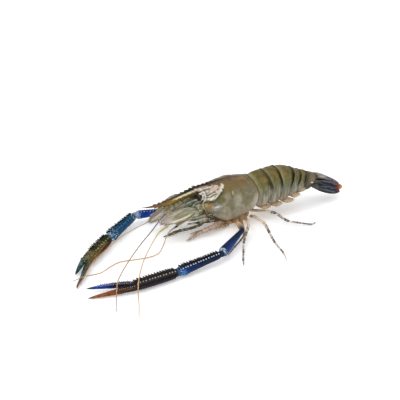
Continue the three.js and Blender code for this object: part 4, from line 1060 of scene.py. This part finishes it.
CLAW_STOPS = {
    "left": {
        "ischium": "0 c4a478 .5 dcc09c .8 94847a 1 14203c",
        "merus": "0 18242c .15 122c44 .4 143054 .7 16346c .93 14306c 1 34506c",
        "carpus": "0 10243a .1 101c28 .5 142438 .8 162c60 .95 2c4c84 1 5c7cb0",
        "palm": "0 1c2432 .06 1c1818 .4 282224 .5 2a1e1a .58 34241c .68 52301e "
                ".76 824824 .92 8e5c32 .97 64502e 1 2c2e26",
        "finger": "0 3c4c78 .06 302c30 .3 2c2834 .45 222850 .6 1c3490 .8 20408c .92 284858 1 202a28",
    },
    "right": {
        "ischium": "0 c4a478 .6 ccb494 .9 304468 1 18284c",
        "merus": "0 12284e .2 0e2e78 .6 103488 .92 143c8c 1 8ca8c0",
        "carpus": "0 7c98a8 .07 28546c .4 204c7c .75 204c6c .93 34688c 1 8cb0c4",
        "palm": "0 3c5058 .05 24281a .2 3c3c20 .4 6a5828 .55 6a5c38 .66 585c44 .8 48686c .93 344648 1 2c2826",
        "finger": "0 50462a .2 46482e .5 34504a .8 2a4240 .93 241e1a 1 8a5048",
    },
}


def stand(shape, limb, rows, columns, tall, lean, radius, tint, root_dim):
    """Spines on a claw that lean towards its end, darker at their roots. None reaches into the table."""
    spot, centre = limb.points[rows, columns], limb.centre
    away = unit(spot - centre[rows])
    clear = spot[:, 2] + np.minimum(away[:, 2], 0) * tall > 0.1
    radius = np.broadcast_to(radius, len(tall))[clear]
    tint = np.broadcast_to(tint, (len(tall), 3))[clear]
    leaning = (away + unit(centre[-1] - centre[0]) * lean)[clear]
    shape.spikes((spot - away * 0.25)[clear], leaning, radius, tall[clear] + 0.25, tint * root_dim, tint)


def studs(shape, limb, span, rows):
    """Rows of spines along a claw between two shares: angle, spacing, height, radius and colour."""
    length = np.linalg.norm(np.diff(limb.centre, axis=0), axis=1).sum()
    for turn, spacing, height, radius, colour in rows:
        at = np.arange(span[0], span[1], spacing / length)
        at = at + rng.uniform(-0.12, 0.12, len(at)) * spacing / length
        row = np.clip(np.searchsorted(limb.share, at), 0, len(limb.share) - 1)
        tall = height * rng.uniform(0.8, 1.2, len(at))
        column = round(turn / 360 * limb.sides) % limb.sides
        stand(shape, limb, row, column, tall, 0.5, radius, rgb(colour), 0.7)


def speckle(shape, limb, span, count, height, radius, shades):
    """Small blunt studs scattered all round a claw, each in one of the shades."""
    shades = np.array([rgb(shade) for shade in shades.split()])
    rows = rng.integers(int(len(limb.share) * span[0]), int(len(limb.share) * span[1]), count)
    columns = rng.integers(0, limb.sides, count)
    tint = shades[rng.integers(0, len(shades), count)]
    tall = height * rng.uniform(0.7, 1.3, count)
    stand(shape, limb, rows, columns, tall, 0.4, radius * rng.uniform(0.7, 1.2, count), tint, 0.8)


def armour(size, crest, glint, dark):
    """Spine rows right round a claw: tall dark ones on its crest, a row below in the glint shade, which is
    pale on the near claw as painted glints, and small ones.
    """
    rows = [(turn, 3.1 * size, 2.0 * size, 0.62 * size, crest) for turn in (98, 118, 138)]
    rows.append((76, 2.8 * size, 1.1 * size, 0.5 * size, crest))
    rows.append((54, 3.1 * size, 0.6 * size, 0.85 * size, glint))
    rows += [(turn, 2.6 * size, 0.5 * size, 0.42 * size, dark) for turn in (36, 12, -12, -36, -60)]
    return rows + [(turn, 3.0 * size, 0.8 * size, 0.45 * size, crest) for turn in (165, 190, 215, 240, 265)]


def segment(side, part, stations, count=130, sides=40, rough=0.15):
    limb = Limb(stations, count, sides)
    patches = cloud(limb.points, 1.7, 70)
    limb.swell(patches * rough)
    coat = limb.paint(CLAW_STOPS[side][part])
    coat.colours *= np.clip(1 + (0.5 if side == "left" else 0.9) * patches, 0.2, 2)[..., None]
    return limb, coat


def between(start, end, girths):
    return [(*lerp(start, end, g[0]), *g[1:]) for g in girths]


def stouter(stations, stout):
    """The same stations with every girth multiplied."""
    return [(*s[:3], *(girth * stout for girth in s[3:])) for s in stations]


def pull(a, b, back_start, back_end):
    """The stretch from a to b with a little taken off both ends."""
    a, b = np.array(a, float), np.array(b, float)
    return a + unit(b - a) * back_start, b - unit(b - a) * back_end


def joint_skin(shape, centre, radius, direction, pale, dark):
    """The soft, pale skin that shows between two segments."""
    centre, direction = np.array(centre), unit(direction)
    profile = ((-0.8, 0.6), (-0.3, 0.95), (0.3, 0.95), (0.8, 0.6))
    knob = Limb([(*(centre + direction * radius * k), radius * g) for k, g in profile], 22, 28)
    lumps = cloud(knob.points, 1.1, 75)
    knob.swell(lumps * 0.3)
    coat = knob.paint(f"0 {pale} 1 {pale}")
    coat.dab(dark, fade(lumps, -0.05, 0.25))
    coat.dab(dark, fade(-knob.sine, -0.1, 0.6) * 0.7)
    shape.skin(knob.points, coat.colours)


def toothed_edge(shape, limb, inward, span, low, high):
    """A row of small teeth on the biting edge of a finger."""
    pick = np.searchsorted(limb.share, np.arange(*span, 0.018))
    centre = limb.centre[pick]
    reach = ((limb.points[pick] - centre[:, None]) @ inward).max(axis=1)
    shape.spikes(centre + inward * (reach - 0.2)[:, None], inward[None], 0.33, 0.75, rgb(low), rgb(high))


# Crest, glint and small spine shades of the palm and finger; the near claw's pale glint shade is painted
# glints.
PALM_SPINES = {"left": ("2e2c2a", "c4c2be", "1c161c"), "right": ("1e2012", "98906c", "2a2014")}


def keep(shape, side, part, slot, look=CLAW):
    shape.make(f"claw_{side}_{part}_segment", f"claw_{side}_{part}", slot, look)


def ischium(side, c):
    shape = Shape()
    limb, coat = segment(side, "ischium", between(*pull(c["root"], c["knee"], 0, 0.8), ISCHIUM), 60, 30)
    shape.skin(limb.points, coat.colours)
    joint_skin(shape, c["knee"], 1.7, np.subtract(c["elbow"], c["root"]), "2c4c74", "0c1428")
    keep(shape, side, "ischium", "belly", FLESH)


def merus(side, c, near):
    shape = Shape()
    start, end = pull(c["knee"], c["elbow"], 0.8, 2.4)
    girths = list(zip((0, 0.07, 0.5, 0.9, 0.97, 1), (*c["meral"], c["meral"][3], 3.2)))
    limb, coat = segment(side, "merus", between(start, end, girths), rough=0.06)
    up, left, s = limb.sine, limb.cosine, limb.s
    glow = peak(up, 0.0, 0.5) * fade(left, -0.2, 0.5) * fade(s, 0.3, 0.7)
    coat.dab("184c98" if near else "1448a4", glow * 0.6)
    coat.dab("121a30" if near else "0c2458", fade(up, 0.6, 0.95) * 0.6)
    coat.dab("0e1a3c", fade(-up, 0.4, 0.9) * 0.7)
    pale_rim = fade(s, 0.965, 0.985) * fade(cloud(limb.points, 1.2, 77), -0.1, 0.1) * fade(up, -0.3, 0.4)
    coat.dab("b4c4d4", pale_rim)
    shape.skin(limb.points, coat.colours)
    if near:
        studs(shape, limb, (0.1, 0.94), [(turn, 2.8, 0.3, 0.35, "182c5a") for turn in range(0, 360, 45)])
    else:
        # white-tipped spines painted as glints, and speckles at the elbow whose pale ones are painted glints
        studs(shape, limb, (0.1, 0.98), [(66, 3.2, 0.5, 0.62, "e4eeff")])
        speckle(shape, limb, (0.9, 1.0), 70, 0.5, 0.5, "b8ccd8 dce8f0 1c4060")
        turns = (20, -20, 85, 105, 130, 170, 210, 250)
        studs(shape, limb, (0.1, 0.96), [(turn, 2.5, 0.6, 0.4, "122a6c") for turn in turns])
    rim = limb.points[-6, ::3]
    out = rim - limb.centre[-6]
    shape.spikes(rim - out * 0.12, out + unit(end - start) * 3, 0.4, 1.7, rgb("7c94ac"), rgb("e0e4ea"))
    pale = "28384c" if near else "a4bcc8"
    joint_skin(shape, c["elbow"], 3.0, np.subtract(c["wrist"], c["knee"]), pale, "0c1424")
    keep(shape, side, "merus", "claw")


def carpus(side, c, near):
    shape = Shape()
    start, end = pull(c["elbow"], c["wrist"], 2.0, 2.4)
    limb, coat = segment(side, "carpus", stouter(between(start, end, CARPUS), c["stout"]))
    up, left, s = limb.sine, limb.cosine, limb.s
    coat.dab("14161a" if near else "1c3c4c", fade(up, 0.62, 0.9) * (0.9 if near else 0.5))
    glow = peak(up, 0.25, 0.5) * fade(left, 0, 0.6) * (0.3 + 0.7 * fade(s, 0.5, 0.9))
    coat.dab("142c64" if near else "20588c", glow)
    coat.dab("1a141e" if near else "182c30", fade(-up, 0.25, 0.8) * 0.9)
    if near:
        bulb = np.linalg.norm(limb.points - (end + [2.5, -3.6, 0.2]), axis=-1)
        coat.dab("3c6ca8", sink(bulb, 1.4, 3.4))
    shape.skin(limb.points, coat.colours)
    if near:
        # the white spine row and the pale speckles at the wrist are painted glints
        studs(shape, limb, (0.05, 0.97), armour(1.0, "1c1c20", "e4e8f4", "141624"))
        speckle(shape, limb, (0.93, 1.0), 60, 0.5, 0.5, "a8c0e0 e8eef6 1c3468 14244c")
    else:
        studs(shape, limb, (0.05, 0.97), armour(1.35, "16242c", "50809c", "10283c"))
        speckle(shape, limb, (0.0, 1.0), 260, 0.5, 0.5, "0c2438 14304c 3c6c8c 6490ac 1c5078")
        # pale speckles at the elbow and wrist are painted glints among darker ones
        speckle(shape, limb, (0.0, 0.16), 60, 0.55, 0.5, "a8c4d0 dce8f0 1c4060")
        speckle(shape, limb, (0.8, 1.0), 130, 0.6, 0.65, "c4d8e4 eaf2f6 0c2438 2c5c84")
    pale = "3c5c90" if near else "7c9cb4"
    joint_skin(shape, c["wrist"], 3.6, np.subtract(c["knuckle"], c["elbow"]), pale, "142440")
    keep(shape, side, "carpus", "claw")


def palm_lie(c, near):
    """Where the palm starts, its knuckle, and the direction from the fixed finger to the moving one."""
    start, knuckle = pull(c["wrist"], c["knuckle"], 2.2, 0)
    return start, knuckle, unit(np.cross(UP, knuckle - start)) * (-1 if near else 1)


def palm(side, c, near):
    """The palm with the fixed finger."""
    shape = Shape()
    start, knuckle, inward = palm_lie(c, near)
    tip = np.array(c["fixed_tip"])
    spread = FINGER_SPREAD + c["shift"]
    stations = stouter(between(start, knuckle, PALM), c["stout"])
    for share, wide, tall in FIXED_FINGER:
        stations.append((*(lerp(knuckle, tip, share) - inward * spread * (1 - share)), wide, tall))
    limb, coat = segment(side, "palm", stations, 220)
    up, left, s = limb.sine, limb.cosine, limb.s
    on_palm = sink(s, 0.46, 0.54)
    if near:
        coat.dab("3c3836", fade(up, 0.35, 0.75) * on_palm * 0.9)
        coat.dab("08080c", peak(up, 0.25, 0.2) * fade(left, 0, 0.4) * on_palm * 0.9)
        coat.dab("2c2230", fade(-up, 0.0, 0.4) * on_palm * 0.9)
        coat.dab("8c6a2c", peak(up, 0.35, 0.16) * fade(left, 0, 0.5) * peak(s, 0.57, 0.09) * 0.8)
        coat.dab("1a1210", fade(np.abs(up), 0.75, 0.95) * sink(s, 0.58, 0.7) * 0.8)
    else:
        ochre = peak(up, 0.45, 0.5) * fade(left, -0.2, 0.4) * sink(s, 0.5, 0.68) * fade(s, 0.1, 0.22)
        coat.dab("84682a", ochre * 0.9)
        coat.dab("1c200e", fade(up, 0.72, 0.95) * on_palm * 0.85)
        coat.dab("3c140a", fade(left, 0.3, 0.6) * fade(-up, -0.5, -0.2) * sink(s, 0.3, 0.42))
        coat.dab("2e241a", fade(cloud(limb.points, 1.3, 78), 0.0, 0.2) * peak(s, 0.38, 0.2) * 0.8)
    shape.skin(limb.points, coat.colours)
    tones = PALM_SPINES[side]
    studs(shape, limb, (0.02, 0.47), armour(0.92 if near else 1.25, *tones))
    studs(shape, limb, (0.47, 0.7), armour(0.6, *tones))
    if near:
        speckle(shape, limb, (0.04, 0.6), 180, 0.35, 0.32, "0c0c12 3c3640 6c6468 14141a")
    else:
        speckle(shape, limb, (0.2, 0.68), 320, 0.45, 0.55, "c0b894 d0c8a8 2a2014 1e2012 8c8868 6c6448")
    toothed_edge(shape, limb, inward, (0.6, 0.96), "443428", "8c7c68")
    keep(shape, side, "palm", "dark_claw" if near else "olive_claw")


def moving_finger(side, c, near):
    shape = Shape()
    _, knuckle, inward = palm_lie(c, near)
    crest, glint, dark = PALM_SPINES[side]
    tip = np.array(c["moving_tip"])
    stations = []
    for share, wide, tall in MOVING_FINGER:
        offset = (FINGER_SPREAD - c["shift"]) * (1 - share) + 0.9 * math.sin(math.pi * share) + 0.3
        stations.append((*(lerp(knuckle, tip, share) + inward * offset), wide, tall))
    limb, coat = segment(side, "finger", stations)
    # painted highlight along the top of the finger
    coat.dab("8c9cc0" if near else "5c7470", fade(limb.sine, 0.8, 0.98) * fade(limb.s, 0.3, 0.6) * 0.4)
    shape.skin(limb.points, coat.colours)
    studs(shape, limb, (0.03, 0.7 if near else 0.5), armour(0.6, crest, "a8b4d0" if near else glint, dark))
    if near:
        # a row of white-tipped spines painted as glints
        studs(shape, limb, (0.04, 0.8), [(66, 2.4, 0.45, 0.5, "c4cee4"), (104, 2.2, 0.8, 0.45, "20222c")])
    # pale speckles at the knuckle are painted glints
    speckle(shape, limb, (0.03, 0.1), 26, 0.45, 0.45, "c8d8e8 84a8c8 14203c")
    toothed_edge(shape, limb, -inward, (0.2, 0.94), "343028", "84806c")
    keep(shape, side, "finger", "claw" if near else "finger")


def claw(side, c):
    """The near claw is the left one."""
    near = side == "left"
    ischium(side, c)
    merus(side, c, near)
    carpus(side, c, near)
    palm(side, c, near)
    moving_finger(side, c, near)


# ---------------------------------------------------------------- assembly

carapace()
rostrum()
for ring_number in range(len(RING_JOINTS) - 1):
    body_ring(ring_number)
telson()
for body_side in (-1, 1):
    uropod("outer", OUTER_UROPOD, body_side)
    uropod("inner", INNER_UROPOD, body_side)
    for paddle_number in range(len(SWIMMERETS)):
        swimmeret(paddle_number, body_side)
    eye(body_side)
    antennule_and_base(body_side)
    antennal_scale(body_side)
thorax_underside()
for feeler_name in ROUTES:
    feeler(feeler_name)
for limb_name, limb_facts in LIMBS.items():
    slender_leg(limb_name, *limb_facts)
for claw_side, claw_facts in CLAWS.items():
    claw(claw_side, claw_facts)


# ---------------------------------------------------------------- floor, light and camera

FLOOR_HALF = 20
CAMERA_PLACE = (-0.3427, -0.6693, 0.4225)
CAMERA_TARGET = (-0.0069, 0.0509, 0)
CAMERA_LENS = 81


def plain_floor():
    mesh = bpy.data.meshes.new("floor")
    corners = [(x * FLOOR_HALF, y * FLOOR_HALF, 0) for x, y in ((-1, -1), (1, -1), (1, 1), (-1, 1))]
    mesh.from_pydata(corners, [], [(0, 1, 2, 3)])
    look = bpy.data.materials.new("pale_floor")
    look.use_nodes = True
    shader = look.node_tree.nodes["Principled BSDF"]
    shader.inputs["Base Color"].default_value = (0.95, 0.95, 0.95, 1)
    shader.inputs["Roughness"].default_value = 0.7
    shader.inputs["Emission Color"].default_value = (1, 1, 1, 1)
    shader.inputs["Emission Strength"].default_value = 0.26
    mesh.materials.append(look)
    floor = bpy.data.objects.new("floor", mesh)
    bpy.context.scene.collection.objects.link(floor)


def aim(thing, location, target):
    thing.location = location
    thing.rotation_mode = "QUATERNION"
    thing.rotation_quaternion = (Vector(target) - Vector(location)).to_track_quat("-Z", "Y")
    bpy.context.scene.collection.objects.link(thing)


def softbox(name, location, size, power):
    data = bpy.data.lights.new(name, "AREA")
    data.shape = "DISK"
    data.size = size
    data.energy = power
    aim(bpy.data.objects.new(name, data), location, (0, 0, 0.02))


def even_light(name, location, width, strength):
    """Soft light from far away, equally strong over the whole floor. width is its angle in degrees."""
    data = bpy.data.lights.new(name, "SUN")
    data.angle = math.radians(width)
    data.energy = strength
    aim(bpy.data.objects.new(name, data), location, (0, 0, 0))


plain_floor()
even_light("overhead", (-0.35, -0.1, 1.0), 60, 0.5)
softbox("sparkle", (-0.55, -0.1, 0.8), 0.14, 0.8)

world = bpy.data.worlds.new("studio")
world.use_nodes = True
background = world.node_tree.nodes["Background"].inputs
background["Color"].default_value = (0.97, 0.98, 1.0, 1)
background["Strength"].default_value = 0.9
bpy.context.scene.world = world
bpy.context.scene.view_settings.view_transform = "Standard"

camera_data = bpy.data.cameras.new("camera")
camera_data.sensor_width = 36
camera_data.lens = CAMERA_LENS
camera_data.clip_start = 0.01
camera_data.clip_end = 20
camera = bpy.data.objects.new("camera", camera_data)
aim(camera, CAMERA_PLACE, CAMERA_TARGET)
bpy.context.scene.camera = camera
